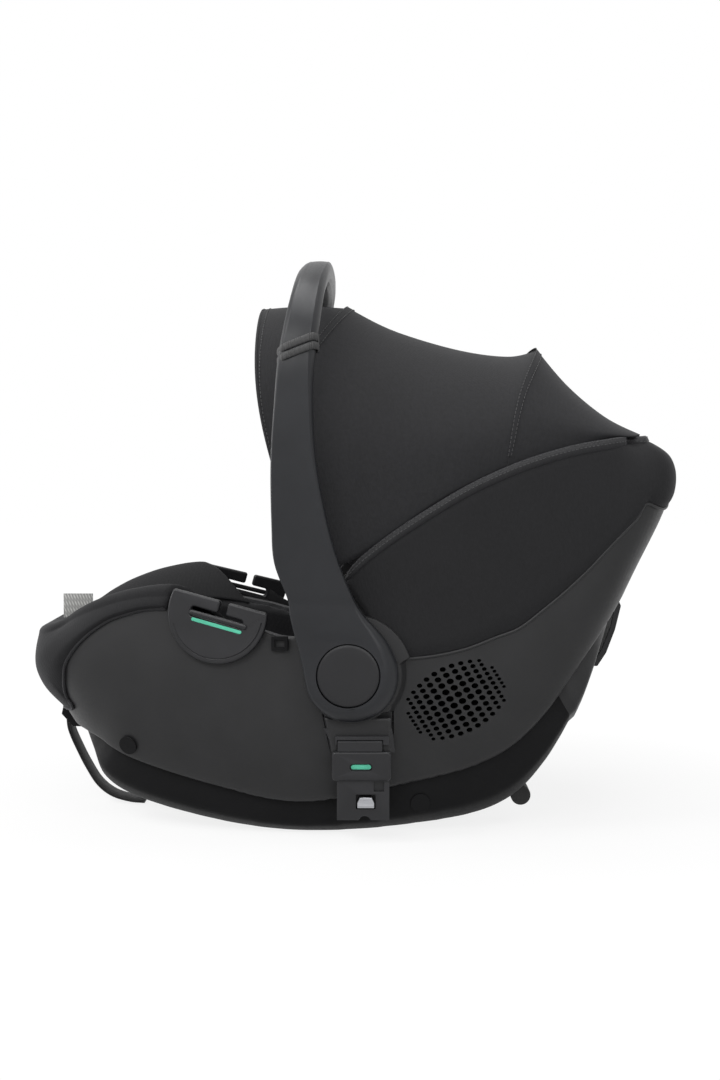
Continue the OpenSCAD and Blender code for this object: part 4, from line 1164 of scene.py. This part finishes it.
class CARSEAT_OT_handle(bpy.types.Operator):
    """Carry handle: two hubs and legs flowing into one bar, with sloped edges"""
    bl_idname = "carseat.handle"
    bl_label = "Carry handle"

    # Steps along one half, and points across the outer face and the back
    STEPS = 150
    FACE = 8
    BACK = 4

    def execute(self, context):
        steps = self.STEPS
        rows, line, run = handle_lines(steps)
        ahead, behind = np.vstack([rows[1:], rows[-1:]]), np.vstack([rows[:1], rows[:-1]])

        def inward(c, sign):
            t = unit(ahead[:, c:c + 2] - behind[:, c:c + 2])
            return sign * np.c_[t[:, 1], -t[:, 0]]

        n_front, n_rear = inward(0, 1), inward(2, -1)
        n_front[0] = n_rear[0] = (0, 1)
        grip = np.clip((rows[:, 1] - 430) / 90, 0, 1)
        back = 1.2 + 6 * grip * grip * (3 - 2 * grip)
        ring = self.ring()

        def place(u, v):
            i = nth(1 - np.abs(2 * u - 1), steps)
            spec = ring[nth(v, len(ring)) % len(ring)]
            r, b, half = rows[i], back[i], rows[i, 6]
            out = []
            for col, norm, slope, steep in ((0, n_front, r[:, 4], np.minimum(r[:, 7], 0.75)),
                                            (2, n_rear, r[:, 5], r[:, 7])):
                drop = steep * slope + 0.5
                q = spec[:, 1] * slope + spec[:, 2] * b + spec[:, 3]
                h = spec[:, 4] * half - spec[:, 5] * drop + spec[:, 6] * b
                xz = r[:, col:col + 2] + norm[i] * q[:, None]
                out.append(np.c_[xz, h])
            w = spec[:, 0][:, None]
            p = out[0] * (1 - w) + out[1] * w
            crown = spec[:, 7] * np.minimum(1, (r[:, 2] - r[:, 0]) / 40) * 0.7 * (
                r[:, 1] > 200)
            return self.onto_line(p[:, 0], p[:, 1], p[:, 2] + crown, u, line, run)

        bm = grid_mesh(2 * steps, len(ring), place, wrap_v=True)
        bmesh.ops.remove_doubles(bm, verts=bm.verts[:], dist=4e-6)
        bmesh.ops.dissolve_degenerate(bm, dist=1e-6, edges=bm.edges[:])
        obj = finish_mesh("carry_handle_body", bm, FINISH["handle"], 34)
        cutter = bmesh.new()
        for side in (-1, 1):
            for r, y0, y1 in ((BUTTON_R + 0.45, 211.7, 224), (34.1, 198, 207.5)):
                add_cylinder(cutter, (AXIS[0], side * (y0 + y1) / 2, AXIS[1]), (0, 1, 0), r,
                             y1 - y0, 96)
        cut(obj, cutter)
        crisp(obj, 30)
        put(obj, "handle", "handle_plastic", "handle_loop", "handle_hub_left", "handle_hub_right")
        self.caps()
        self.elastic(line, run)
        return {"FINISHED"}

    def elastic(self, line, run):
        """Two ribbed elastic bands round each leg, slanting down to the front."""
        parts = []
        count = 220
        section = ((-3.5, 0), (-3.3, 0.9), (-1.6, 1.35), (0, 1.45), (1.6, 1.35), (3.3, 0.9),
                   (3.5, 0), (0, -0.2))
        for side in (0.0, 1.0):
            for middle in (474.5, 466.3):
                x0, x1 = -68.6, -33.0
                flat = [(x0, -10.4), (x0 - 0.3, 1.0), (x0 + 3.5, 8.2), (x0 + 8, 10.4),
                        (x1 - 8, 10.4), (x1 - 3.2, 8.6), (x1 + 0.6, 0), (x1 + 0.4, -10.4)]
                loop = resample(flat, count, closed=True)
                t = unit(np.roll(loop, -1, 0) - np.roll(loop, 1, 0))
                out = np.c_[-t[:, 1], t[:, 0]]

                def place(u, v, loop=loop, out=out, middle=middle, side=side):
                    i = nth(u, count) % count
                    j = nth(v, len(section)) % len(section)
                    up, thick = np.array(section)[j].T
                    rib = 0.82 + 0.3 * np.abs(np.sin(i * math.pi / 4))
                    p = loop[i] + out[i] * (thick * rib)[:, None]
                    z = middle + up + 0.38 * (loop[i, 0] + 50)
                    at = np.interp(z, line[:, 2], run)
                    return self.onto_line(p[:, 0], at, p[:, 1], np.full(len(i), side), line, run)

                bm = grid_mesh(count, len(section), place, wrap_u=True, wrap_v=True)
                parts.append(finish_mesh("band", bm, FINISH["elastic"], 50))
        obj = joined("elastic_loops_shape", parts, FINISH["elastic"])
        put(obj, "handle", "webbing", "elastic_loops")

    def ring(self):
        """Round the section: edge share, inset by slope, by back rounding, by mm, height share,
        drop by slope, rise by back rounding, crown."""
        edge = [(1, 0, 1.0, 1, 0, 0), (1, 0, 0, 1, 0, 0), (0.62, 0, 0, 1, 0.22, 0),
                (0.28, 0, 0, 1, 0.6, 0), (0.06, 0, 0, 1, 0.93, 0), (0, 0, 0, 1, 1.12, 0),
                (0, 0, 0, -1, 0, 1.1), (0, 0.12, 0, -1, 0, 0.5), (0, 0.5, 0, -1, 0, 0.12),
                (0, 1, 0.2, -1, 0, 0), (0, 1, 1.2, -1, 0, 0)]
        front = [(0, *e, 0) for e in edge]
        rear = [(1, *e, 0) for e in edge]
        face = [(w, 1, 0, 1.0, 1, 0, 0, math.sin(w * math.pi))
                for w in np.linspace(0, 1, self.FACE + 2)[1:-1]]
        behind = [(w, 0, 1, 1.2, -1, 0, 0, 0) for w in np.linspace(0, 1, self.BACK + 2)[1:-1]]
        return np.array(face[::-1] + front + behind + rear[::-1])

    def onto_line(self, x, at, h, u, line, run):
        """Carries a flat point (x, way along the leg, height) onto the bent middle line."""
        k = np.clip(np.searchsorted(run, at) - 1, 0, len(run) - 2)
        w = np.clip((at - run[k]) / (run[k + 1] - run[k]), 0, 1)
        y = line[k, 1] + (line[k + 1, 1] - line[k, 1]) * w
        z = line[k, 2] + (line[k + 1, 2] - line[k, 2]) * w
        t = unit(line[np.minimum(k + 2, len(run) - 1), 1:3] - line[np.maximum(k - 1, 0), 1:3])
        low = at <= run[0]
        z = np.where(low, at, z)
        y = np.where(low, HANDLE[0][1] - 0.4, y)
        ny, nz = np.where(low, 1.0, t[:, 1]), np.where(low, 0.0, -t[:, 0])
        side = np.where(u <= 0.5, -1.0, 1.0)
        return np.c_[x, side * (y + h * ny), z + h * nz]

    def caps(self):
        """Round release buttons, very slightly domed, with a rounded edge."""
        profile = ((0, 219.8), (10, 219.78), (20, 219.7), (26, 219.55), (28.6, 219.3),
                   (29.6, 218.7), (30, 217.8), (30, 216.4))
        for side, name in SIDES:
            bm = bmesh.new()
            verts = [bm.verts.new(((AXIS[0] + r) * MM, side * y * MM, AXIS[1] * MM))
                     for r, y in profile]
            edges = [bm.edges.new(pair) for pair in zip(verts, verts[1:])]
            bmesh.ops.spin(bm, geom=verts + edges, cent=(AXIS[0] * MM, 0, AXIS[1] * MM),
                           axis=(0, 1, 0), angle=2 * math.pi, steps=96, use_merge=True)
            bmesh.ops.remove_doubles(bm, verts=bm.verts[:], dist=1e-6)
            fill_ends(bm)
            obj = finish_mesh(f"release_cap_{name}", bm, FINISH["trim"], 50)
            put(obj, f"hub_button_{name}_body", "trim_plastic", f"hub_button_{name}")


# ---- Pivot ears ----
class CARSEAT_OT_ears(bpy.types.Operator):
    """The shell's round ears that the handle turns on"""
    bl_idname = "carseat.ears"
    bl_label = "Pivot ears"

    # Radius and distance from the middle plane, from the journal's bore to the bearing face
    BORE = ((27, 198), (27, 206.6), (27.5, 207), (33.4, 207), (34, 206.5), (34, 202.6),
            (34.6, 202))

    def execute(self, context):
        shell = surface_of("upper_shell_body")
        for side, name in SIDES:
            cols = 144
            rounding = ((-0.9, 202), (-0.45, 201.9), (-0.15, 201.6), (0, 201.1), (0, 198),
                        (0, 196), (0, 194), (0, 190))
            count = len(self.BORE) + len(rounding)

            def place(u, v, side=side):
                j = nth(v, count - 1)
                deg = (u * 360 + 90) % 360 - 90
                # A crisp edge where the skirt tucks in, flush with the wall below that, and
                # hidden by the hub elsewhere
                wide = np.clip((deg + 50) / 12, 0, 1) * np.clip((128 - deg) / 10, 0, 1)
                flush = np.clip((17 - deg) / 3, 0, 1) * np.clip((deg + 50) / 12, 0, 1)
                table = np.array([*self.BORE, *rounding], float)
                bore = j < len(self.BORE)
                t = np.clip((j - len(self.BORE)) / (len(rounding) - 1), 0, 1)
                crisp_r = 46.5 + 10.7 * wide + table[j, 0]
                flush_r = 45.0 + 9.0 * t
                r = np.where(bore, table[j, 0], crisp_r * (1 - flush) + flush_r * flush)
                g = u * 2 * math.pi
                x = np.where(bore, AXIS[0], 0.0) + r * np.cos(g)
                z = np.where(bore, AXIS[1], PIVOT_Z) + r * np.sin(g)
                wall = np.array([hit_y(shell, a, b) for a, b in zip(x, z)]) - 0.7
                e = ease(t)
                y = np.where(bore, table[j, 1], table[j, 1] * (1 - flush)
                             + (202 * (1 - e) + wall * e) * flush)
                return np.c_[x, side * y, z]

            bm = grid_mesh(cols, count - 1, place, wrap_u=True)
            obj = finish_mesh(f"pivot_ear_{name}", bm, FINISH["shell"], 30)
            put(obj, "seat", "shell_plastic", f"pivot_plate_{name}")
        return {"FINISHED"}


def surface_of(name):
    """A tree for finding a piece's surface."""
    bpy.context.view_layer.update()
    return BVHTree.FromObject(bpy.data.objects[name], bpy.context.evaluated_depsgraph_get())


def hit_y(tree, x, z, default=190.0):
    """Distance of the near outer surface from the middle plane at (x, z), in millimetres."""
    hit = tree.ray_cast(Vector((x * MM, -0.4, z * MM)), Vector((0, 1, 0)), 0.4)[0]
    return -hit.y / MM if hit is not None else default


# ---- Carried-over parts ----
class CARSEAT_OT_trim(bpy.types.Operator):
    """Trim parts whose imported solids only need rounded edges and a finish"""
    bl_idname = "carseat.trim"
    bl_label = "Trim parts"

    ROUNDED = (  # node, finish, bevel, body, slot
        ("connector_left", "trim", 1.8, "seat", "trim_plastic"),
        ("connector_right", "trim", 1.8, "seat", "trim_plastic"),
        ("connector_button_left", "trim", 1.6, "connector_button_left_body", "trim_plastic"),
        ("connector_button_right", "trim", 1.6, "connector_button_right_body", "trim_plastic"),
        ("connector_latch_left", "steel", 0.4, "connector_latch_left_body", "steel"),
        ("connector_latch_right", "steel", 0.4, "connector_latch_right_body", "steel"),
        ("rim_hooks", "base", 0.5, "seat", "base_plastic"),
        ("screw_caps", "base", 0.5, "seat", "base_plastic"),
        ("rear_feet", "rubber", 1.5, "seat", "rubber"),
        ("rear_belt_hook", "trim", 0.8, "seat", "trim_plastic"),
        ("adjuster_bezel", "base", 0.9, "seat", "base_plastic"),
        ("adjuster_button", "trim", 0.8, "adjuster_button_body", "trim_plastic"),
        ("adjuster_mouth", "base", 0.6, "seat", "base_plastic"),
        ("buckle_body", "trim", 1.4, "seat", "trim_plastic"),
        ("buckle_button", "red", 0.9, "buckle_button_body", "red_button"),
        ("buckle_tongues", "steel", 0.3, "seat", "steel"),
    )
    PLAIN = (("bow_rear", "bow"), ("bow_front", "bow"), ("bow_rear_eyes", "bow"),
             ("bow_front_eyes", "bow"), ("canopy_pins", "steel"), ("lock_gear_left", "steel"),
             ("lock_gear_right", "steel"), ("button_springs", "steel"), ("seat_pan", "base"),
             ("foam_liner", "foam"), ("centre_rib", "base"), ("head_shell", "base"))

    def execute(self, context):
        for node, finish, bevel, body, slot in self.ROUNDED:
            obj = cad_copy(node, node + "_shape", FINISH[finish], bevel)
            put(obj, body, slot)
        for node, finish in self.PLAIN:
            dress(node, FINISH[finish])
        for side, name in SIDES:
            for obj in (self.neck(side, f"connector_neck_{name}"),
                        self.box(side, f"connector_box_{name}")):
                put(obj, "seat", "trim_plastic")
        green = joined("connector_windows_shape", [
            rounded_plate("window", (-1.2, 204.2, 72.2), (18.2, 205.6, 77.0), 2.3, 0.5,
                          FINISH["green"], side) for side in (-1, 1)], FINISH["green"])
        put(green, "seat", "green_accent", "connector_windows")
        return {"FINISHED"}

    def box(self, side, name):
        """The connector's face: a rounded plate with a long window."""
        obj = rounded_plate(name, (-19.3, 200.5, 61.4), (37.3, 207.6, 89.6), 4.2, 2.4,
                            FINISH["trim"], side)
        cutter = bmesh.new()
        for x in (1.0, 16.0):
            add_cylinder(cutter, (x, side * 206, 74.6), (0, 1, 0), 3.5, 6, 32)
        window = bmesh.new()
        add_side_box(window, side, (1.0, 203, 71.1), (16.0, 209, 78.1))
        cut(obj, cutter)
        cut(obj, window)
        even_shading(obj)
        return obj

    def neck(self, side, name):
        """The connector's hollowed panel that runs up under the hub between the two slots."""
        def place(u, v):
            z = 87 + 34 * v
            left = np.interp(z, (87, 89, 126), (-20.5, -20.9, -28.4))
            right = np.interp(z, (87, 103, 133), (38.4, 38.4, 38.4))
            edge = np.minimum(u, 1 - u) * (right - left)
            y = 202.0 - 4.6 * (1 - arch(edge, 3.2))
            y -= 0.5 * np.sin(u * math.pi) ** 2
            return np.c_[left + (right - left) * u, side * y, z]

        obj = thick_sheet(name, grid_mesh(40, 12, place), FINISH["shell"], (0, 0, 105), 1.5, 40)
        apply_modifiers(obj)
        # The pocket that the release button is pressed into
        pocket = bmesh.new()
        add_side_box(pocket, side, (-14.8, 190, 80), (29.8, 210, 100.8))
        cut(obj, pocket)
        return obj


class CARSEAT_OT_belt_guides(bpy.types.Operator):
    """Belt guides on the rim: rounded fingers over a slot, a belt rest and its green mark"""
    bl_idname = "carseat.belt_guides"
    bl_label = "Belt guides"

    CENTRE = (-128.5, 177.0, 219.0)
    LEAN, TOE = 5.0, -8.8
    SLOT = (-1.0, -5.0)
    SLOT_TURN = -14.5
    THICK = 7.0
    RADIUS, CAD_RADIUS = 49.2, 51

    def execute(self, context):
        for side, name in SIDES:
            obj = cad_copy(f"belt_guide_{name}", f"belt_guide_{name}_shape", FINISH["trim"])
            self.round_corners(obj)
            modifier(obj, "BEVEL", width=2.4 * MM, segments=5, limit_method="ANGLE",
                     angle_limit=math.radians(50), profile=0.5, use_clamp_overlap=False)
            apply_modifiers(obj)
            cutter = bmesh.new()
            groove = tube("groove", self.arc(side, self.RADIUS - 4.6, self.THICK + 0.1, -166, -12),
                          0.8, FINISH["trim"], 8)
            cutter.from_mesh(groove.data)
            discard(groove)
            cut(obj, cutter)
            even_shading(obj)
            put(obj, "seat", "trim_plastic")
            rest = self.bar(side, f"belt_rest_{name}", (2.2, -1.0), 59.0, 5.2, 4.8, "trim", 6.8)
            put(rest, "seat", "trim_plastic")
        marks = [self.bar(side, "mark", (2.2, -7.0), 51.0, 3.5, 1.0, "green", 7.1)
                 for side in (-1, 1)]
        mark = joined("belt_guide_marks_shape", marks, FINISH["green"])
        put(mark, "seat", "green_accent", "belt_guide_marks")
        return {"FINISHED"}

    def round_corners(self, obj):
        """Rounds the outline's corners: widely at the rim of the disc, less in the slot."""
        bm = bmesh.new()
        bm.from_mesh(obj.data)
        bmesh.ops.dissolve_limit(bm, angle_limit=math.radians(1), verts=bm.verts[:],
                                 edges=bm.edges[:])
        centre = Vector((self.CENTRE[0], 0, self.CENTRE[2])) * MM
        grow = self.RADIUS / self.CAD_RADIUS - 1
        for v in bm.verts:
            v.co.x += (v.co.x - centre.x) * grow
            v.co.z += (v.co.z - centre.z) * grow
        for low, high, r in ((0.040, 0.06, 6.5), (0.0, 0.040, 2.6)):
            picked = []
            for e in bm.edges:
                if len(e.link_faces) != 2 or e.calc_face_angle(0) < math.radians(35):
                    continue
                way = e.verts[1].co - e.verts[0].co
                middle = (e.verts[0].co + e.verts[1].co) / 2 - centre
                middle.y = 0
                if abs(way.normalized().y) > 0.9 and low <= middle.length < high:
                    picked.append(e)
            if picked:
                round_off(bm, picked, r, 6, clamp_overlap=True)
        bm.to_mesh(obj.data)
        bm.free()

    def plane(self, side):
        """The guide's own leaning plane on one side wall, its third axis outwards."""
        x, y, z = self.CENTRE
        return (Matrix.Diagonal((1, -side, 1, 1)) @ Matrix.Translation(Vector((x, -y, z)) * MM)
                @ Matrix.Rotation(math.radians(self.TOE), 4, "Z")
                @ Matrix.Rotation(math.radians(90 - self.LEAN), 4, "X"))

    def arc(self, side, r, out, start, end):
        turn = [math.radians(start + (end - start) * k / 60) for k in range(61)]
        return [(self.plane(side) @ (Vector((r * math.cos(g), r * math.sin(g), out)) * MM)) / MM
                for g in turn]

    def bar(self, side, name, shift, long, tall, deep, finish, out):
        """A rounded bar beside the slot; shift is along and up from the slot's middle."""
        bm = bmesh.new()
        bmesh.ops.create_cube(bm, size=1.0, matrix=Matrix.Diagonal(
            (long * MM, tall * MM, deep * MM, 1)))
        round_off(bm, edges_along(bm, 2), tall * 0.49, 6)
        rims = [e for e in bm.edges if e.calc_face_angle(0) > math.radians(50)]
        round_off(bm, rims, min(tall, deep) * 0.42, 4)
        place = (self.plane(side) @ Matrix.Translation(Vector((*self.SLOT, out)) * MM)
                 @ Matrix.Rotation(math.radians(self.SLOT_TURN), 4, "Z")
                 @ Matrix.Translation(Vector((*shift, 0)) * MM))
        bmesh.ops.transform(bm, matrix=place, verts=bm.verts[:])
        return finish_mesh(name, bm, FINISH[finish], 40)


def puffed(node, name, material, voxel, cap, pressure, seams=(), shrink=0.6):
    """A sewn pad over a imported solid: remeshed, blown up by cloth pressure and held down along
    its seams; seams are functions of (x, y) that are zero on the seam."""
    obj = cad_copy(node, name, material)
    for v in obj.data.vertices:
        v.co -= v.normal * shrink * MM
    modifier(obj, "REMESH", mode="VOXEL", voxel_size=voxel * MM)
    apply_modifiers(obj)
    before = np.array([v.co for v in obj.data.vertices])
    near = np.ones(len(before))
    for seam in seams:
        near = np.minimum(near, np.clip(np.abs(seam(before[:, 0] / MM, before[:, 1] / MM))
                                        / (1.6 * voxel), 0, 1))
    scene = bpy.context.scene
    sim = obj.modifiers.new("cloth", "CLOTH")
    sim.settings.use_pressure = True
    sim.settings.uniform_pressure_force = pressure
    sim.settings.effector_weights.gravity = 0
    last = 20
    sim.point_cache.frame_start, sim.point_cache.frame_end = 1, last
    for moment in range(1, last + 1):
        scene.frame_set(moment)
    apply_modifiers(obj)
    scene.frame_set(1)
    after = np.array([v.co for v in obj.data.vertices])
    move = (after - before) * near[:, None]
    far = np.linalg.norm(move, axis=1)
    move *= np.minimum(1, cap * MM / np.maximum(far, 1e-9))[:, None]
    # The seams lie a little below the pad
    down = np.array([v.normal for v in obj.data.vertices]) * ((near < 1) * (1 - near)
                                                              * 1.6 * MM)[:, None]
    for v, place in zip(obj.data.vertices, before + move - down):
        v.co = place
    modifier(obj, "SUBSURF", levels=1, render_levels=1)
    apply_modifiers(obj)
    obj.data.shade_smooth()
    return obj


def laid_on(tree, points, lift=0.3):
    """Points in plan dropped on a surface from above, in millimetres."""
    out = []
    for x, y in points:
        hit = tree.ray_cast(Vector((x, y, 450)) * MM, Vector((0, 0, -1)))[0]
        if hit is not None:
            out.append((x, y, hit.z / MM + lift))
    return out


class CARSEAT_OT_cushions(bpy.types.Operator):
    """Seat cushion, head pad, shoulder pads and crotch pad"""
    bl_idname = "carseat.cushions"
    bl_label = "Cushions"

    # The seams' places, and how far beside a seam its stitches run
    SIDE = 62.0
    HEAD_SEAM = 46.0
    CROSS = (-150.0, -30.0, 60.0)
    BESIDE = 2.6

    def execute(self, context):
        seams = [lambda x, y: np.abs(y) - self.SIDE]
        seams += [lambda x, y, c=c: np.where(np.abs(y) < self.SIDE, x - c, 99)
                  for c in self.CROSS]
        # Flat where the head support slides over it
        seams += [lambda x, y: np.where((x > 55) & (np.abs(y) < 98), 0, 99)]
        seat = puffed("seat_cushion", "seat_cushion_cover", FINISH["seat"], 5.0, 3.0, 4.0,
                      seams)
        put(seat, "seat", "seat_fabric")
        lines = [[(x, side * self.SIDE + off) for x in np.arange(-245.0, 225.0, 3.0)]
                 for side in (-1, 1) for off in (-self.BESIDE, self.BESIDE)]
        lines += [[(c + self.BESIDE, y) for y in np.arange(-58.0, 58.1, 2.0)]
                  for c in self.CROSS]
        self.sew("seat_cushion_stitches", seat, "seat", lines, (4.6, 3.0, 0.4))
        self.pad("head_pad", "head_support", 4.5, 2.5,
                 [lambda x, y: np.abs(y) - self.HEAD_SEAM], (-self.HEAD_SEAM, self.HEAD_SEAM))
        self.pad("shoulder_pads", "seat", 3.0, 1.6)
        self.pad("crotch_pad", "seat", 3.0, 1.6)
        return {"FINISHED"}

    def pad(self, node, body, voxel, cap, seams=(), lines=()):
        """A small pad, with a row of stitches beside each seam line given."""
        obj = puffed(node, node + "_cover", FINISH["seat"], voxel, cap, 3.0, seams, 0.8)
        put(obj, body, "seat_fabric")
        x = np.array([v.co.x for v in obj.data.vertices]) / MM
        along = np.arange(x.min() + 8, x.max() - 8, 2.0)
        if lines:
            self.sew(node + "_stitches", obj, body, [[(a, y + 2.4) for a in along] for y in lines],
                     (4.2, 2.8, 0.36))

    def sew(self, name, obj, body, lines, thread):
        """Rows of stitches laid on a cushion along lines in plan; thread is the stitches' pitch,
        length and radius."""
        tree = surface_of(obj.name)
        rows = [stitches("row", laid_on(tree, line), FINISH["thread"], *thread) for line in lines]
        put(joined(name, rows, FINISH["thread"]), body, "seat_fabric")


class CARSEAT_OT_straps(bpy.types.Operator):
    """Harness straps, the adjuster strap and the grey tag"""
    bl_idname = "carseat.straps"
    bl_label = "Straps"

    PULL = ((-303, 104), (-303, 86), (-300, 74), (-293, 58), (-284, 40), (-272, 21), (-257, 9),
            (-238, 3), (-222, 1.5))

    def execute(self, context):
        for node in ("shoulder_straps", "lap_straps", "crotch_strap"):
            obj = cad_copy(node, node + "_webbing", FINISH["webbing"], 0.6)
            put(obj, "seat", "webbing")
        put(self.pull_strap(), "seat", "webbing", "adjuster_strap")
        put(self.tag(), "seat", "grey_tag", "pull_tag")
        return {"FINISHED"}

    def pull_strap(self):
        """The adjuster's pull strap: a woven band with thin selvedges, held at both its ends."""
        table = np.array(self.PULL, float)
        line = smooth_line(np.c_[table[:, 0], np.zeros(len(table)), table[:, 1]], 60)
        wide, thick = 19.0, 0.8
        out = np.cross(unit(np.gradient(line, axis=0)), [0, 1.0, 0])
        section = [(-wide, 0.3), (-wide + 1.0, thick), (wide - 1.0, thick), (wide, 0.3),
                   (wide, -0.3), (wide - 1.0, -thick), (-wide + 1.0, -thick), (-wide, -0.3)]

        def place(u, v):
            k = nth(u, len(line) - 1)
            j = nth(v, len(section)) % len(section)
            part = np.array(section)[j]
            return line[k] + np.array([0, 1.0, 0]) * part[:, :1] + out[k] * part[:, 1:]

        bm = grid_mesh(len(line) - 1, len(section), place, wrap_v=True)
        fill_ends(bm)
        return finish_mesh("adjuster_strap_webbing", bm, FINISH["webbing"], 50)

    def tag(self):
        """A small woven label, left bare: a thin flat box with rounded edges at the cover's seam.
        """
        bm = bmesh.new()
        add_box(bm, (-305.6, -20.7, 198.5), (-274.6, -19.3, 224.0))
        upright = [e for e in bm.edges if abs((e.verts[1].co - e.verts[0].co).normalized().y) < 0.1
                   and len(e.link_faces) == 2]
        round_off(bm, upright, 0.5, 3)
        return finish_mesh("pull_tag_label", bm, FINISH["tag"], 40)


# ---- Stage ----
class CARSEAT_OT_stage(bpy.types.Operator):
    """Pale floor, soft light and the camera"""
    bl_idname = "carseat.stage"
    bl_label = "Stage"

    LAMPS = (  # name, place, aim, size, power
        ("key", (-2.2, -1.2, 2.3), (0, 0, 0.25), (1.4, 1.6), 42),
        ("fill", (1.6, -3.0, 1.6), (0, 0, 0.25), (2.2, 1.4), 30),
        ("front", (-0.8, -2.6, 1.9), (0, 0, 0.4), (1.8, 0.9), 34),
        ("top", (0.1, 1.3, 2.6), (0, 0, 0.25), (3.0, 1.0), 5),
        ("left strip", (-2.5, 0.5, 0.8), (0, 0, 0.3), (0.6, 1.6), 22),
        ("high right", (1.9, -0.1, 2.1), (0, 0, 0.2), (0.8, 0.8), 7),
        ("edges", (-0.3, -0.3, 2.6), (0, 0, 0.3), (2.6, 1.0), 50))

    def execute(self, context):
        scene = context.scene
        scene.view_settings.view_transform = "Standard"
        cam_data = bpy.data.cameras.new("camera")
        cam_data.sensor_fit = "VERTICAL"
        cam_data.sensor_height = 36.0
        cam_data.lens = 58.2
        cam_data.clip_end = 50
        cam = bpy.data.objects.new("camera", cam_data)
        scene.collection.objects.link(cam)
        cam.location = (0.017, -1.850, 0.383)
        look = Vector((-math.sin(math.radians(0.33)), 1, -math.tan(math.radians(3.21))))
        cam.rotation_euler = look.to_track_quat("-Z", "Y").to_euler()
        scene.camera = cam
        self.floor()
        self.lights(scene)
        self.world(scene)
        return {"FINISHED"}

    def white_to_eye(self, mat, shown, other):
        """shown where the eye, a reflection or glass looks straight at it, other for the rest."""
        rays = add(mat, "ShaderNodeLightPath")
        either = add(mat, "ShaderNodeMath", {0: rays.outputs["Is Camera Ray"],
                                             1: rays.outputs["Is Glossy Ray"]},
                     operation="MAXIMUM")
        seen = add(mat, "ShaderNodeMath", {0: either.outputs["Value"],
                                           1: rays.outputs["Is Transmission Ray"]},
                   operation="MAXIMUM")
        return add(mat, "ShaderNodeMixShader", {"Fac": seen.outputs["Value"], 1: other,
                                                2: shown}).outputs["Shader"]

    def floor(self):
        bm = bmesh.new()
        bmesh.ops.create_grid(bm, x_segments=1, y_segments=1, size=6.0)
        mat, shader, where = new_material("matt_paper_floor")
        tooth = add(mat, "ShaderNodeTexNoise", {"Vector": where, "Scale": 300.0})
        link(mat, ramp(mat, tooth.outputs["Fac"], linear("#fbfbfb"), linear("#ffffff")), shader,
             "Base Color")
        tune(shader, {"Roughness": 0.9, "Specular IOR Level": 0.1})
        # Away from the object the sweep is plain white; near it a little shadow shows
        away = add(mat, "ShaderNodeVectorMath", {0: where}, operation="LENGTH")
        fade = add(mat, "ShaderNodeMapRange", {"Value": away.outputs["Value"], "From Min": 0.25,
                                               "From Max": 0.62, "To Min": 0.82, "To Max": 1.0})
        white = add(mat, "ShaderNodeEmission", {"Color": (1, 1, 1, 1), "Strength": 1.02})
        shown = add(mat, "ShaderNodeMixShader", {"Fac": fade.outputs["Result"],
                                                 1: shader.outputs[0], 2: white.outputs[0]})
        out = next(n for n in mat.node_tree.nodes if n.type == "OUTPUT_MATERIAL")
        link(mat, self.white_to_eye(mat, shown.outputs[0], shader.outputs[0]), out, "Surface")
        obj = finish_mesh("floor", bm, mat, 0)

    def lights(self, scene):
        for name, place, aim, size, power in self.LAMPS:
            lamp = bpy.data.lights.new(name, "AREA")
            lamp.shape = "RECTANGLE"
            lamp.size, lamp.size_y = size
            lamp.energy = power
            obj = bpy.data.objects.new(name, lamp)
            scene.collection.objects.link(obj)
            # The lamp named edges only draws the bright upper edges
            obj.visible_diffuse = name != "edges"
            obj.location = place
            way = Vector(aim) - Vector(place)
            obj.rotation_euler = way.to_track_quat("-Z", "Y").to_euler()

    def world(self, scene):
        world = bpy.data.worlds.new("studio")
        scene.world = world
        world.use_nodes = True
        tree = world.node_tree
        tree.nodes.clear()
        shown = add(world, "ShaderNodeBackground", {"Color": (1, 1, 1, 1), "Strength": 1.0})
        other = add(world, "ShaderNodeBackground", {"Color": (1, 1, 1, 1), "Strength": 0.2})
        mixed = self.white_to_eye(world, shown.outputs[0], other.outputs[0])
        add(world, "ShaderNodeOutputWorld", {"Surface": mixed})


# ---- Add-on ----
OPERATORS = (
    CARSEAT_OT_shell, CARSEAT_OT_base, CARSEAT_OT_front_cover, CARSEAT_OT_skirt,
    CARSEAT_OT_canopy, CARSEAT_OT_handle, CARSEAT_OT_ears, CARSEAT_OT_trim,
    CARSEAT_OT_belt_guides, CARSEAT_OT_cushions, CARSEAT_OT_straps, CARSEAT_OT_stage)


class CARSEAT_PT_panel(bpy.types.Panel):
    """Lists the pieces of the car seat"""
    bl_idname = "CARSEAT_PT_panel"
    bl_label = "Car seat"
    bl_space_type = "VIEW_3D"
    bl_region_type = "UI"
    bl_category = "Car seat"

    def draw(self, context):
        for op in OPERATORS:
            self.layout.operator(op.bl_idname)
        for group in (context.scene.car_seat_sizes, context.scene.car_seat_colours):
            for key in group.__annotations__:
                self.layout.prop(group, key)


CLASSES = (SeatColours, SeatSizes, *OPERATORS, CARSEAT_PT_panel)


def register():
    for cls in CLASSES:
        bpy.utils.register_class(cls)
    bpy.types.Scene.car_seat_colours = PointerProperty(type=SeatColours)
    bpy.types.Scene.car_seat_sizes = PointerProperty(type=SeatSizes)


def unregister():
    del bpy.types.Scene.car_seat_sizes
    del bpy.types.Scene.car_seat_colours
    for cls in reversed(CLASSES):
        bpy.utils.unregister_class(cls)


def main():
    register()
    make_finishes(bpy.context.scene.car_seat_colours)
    for op in OPERATORS:
        group, name = op.bl_idname.split(".")
        getattr(getattr(bpy.ops, group), name)()


if __name__ == "__main__":
    main()
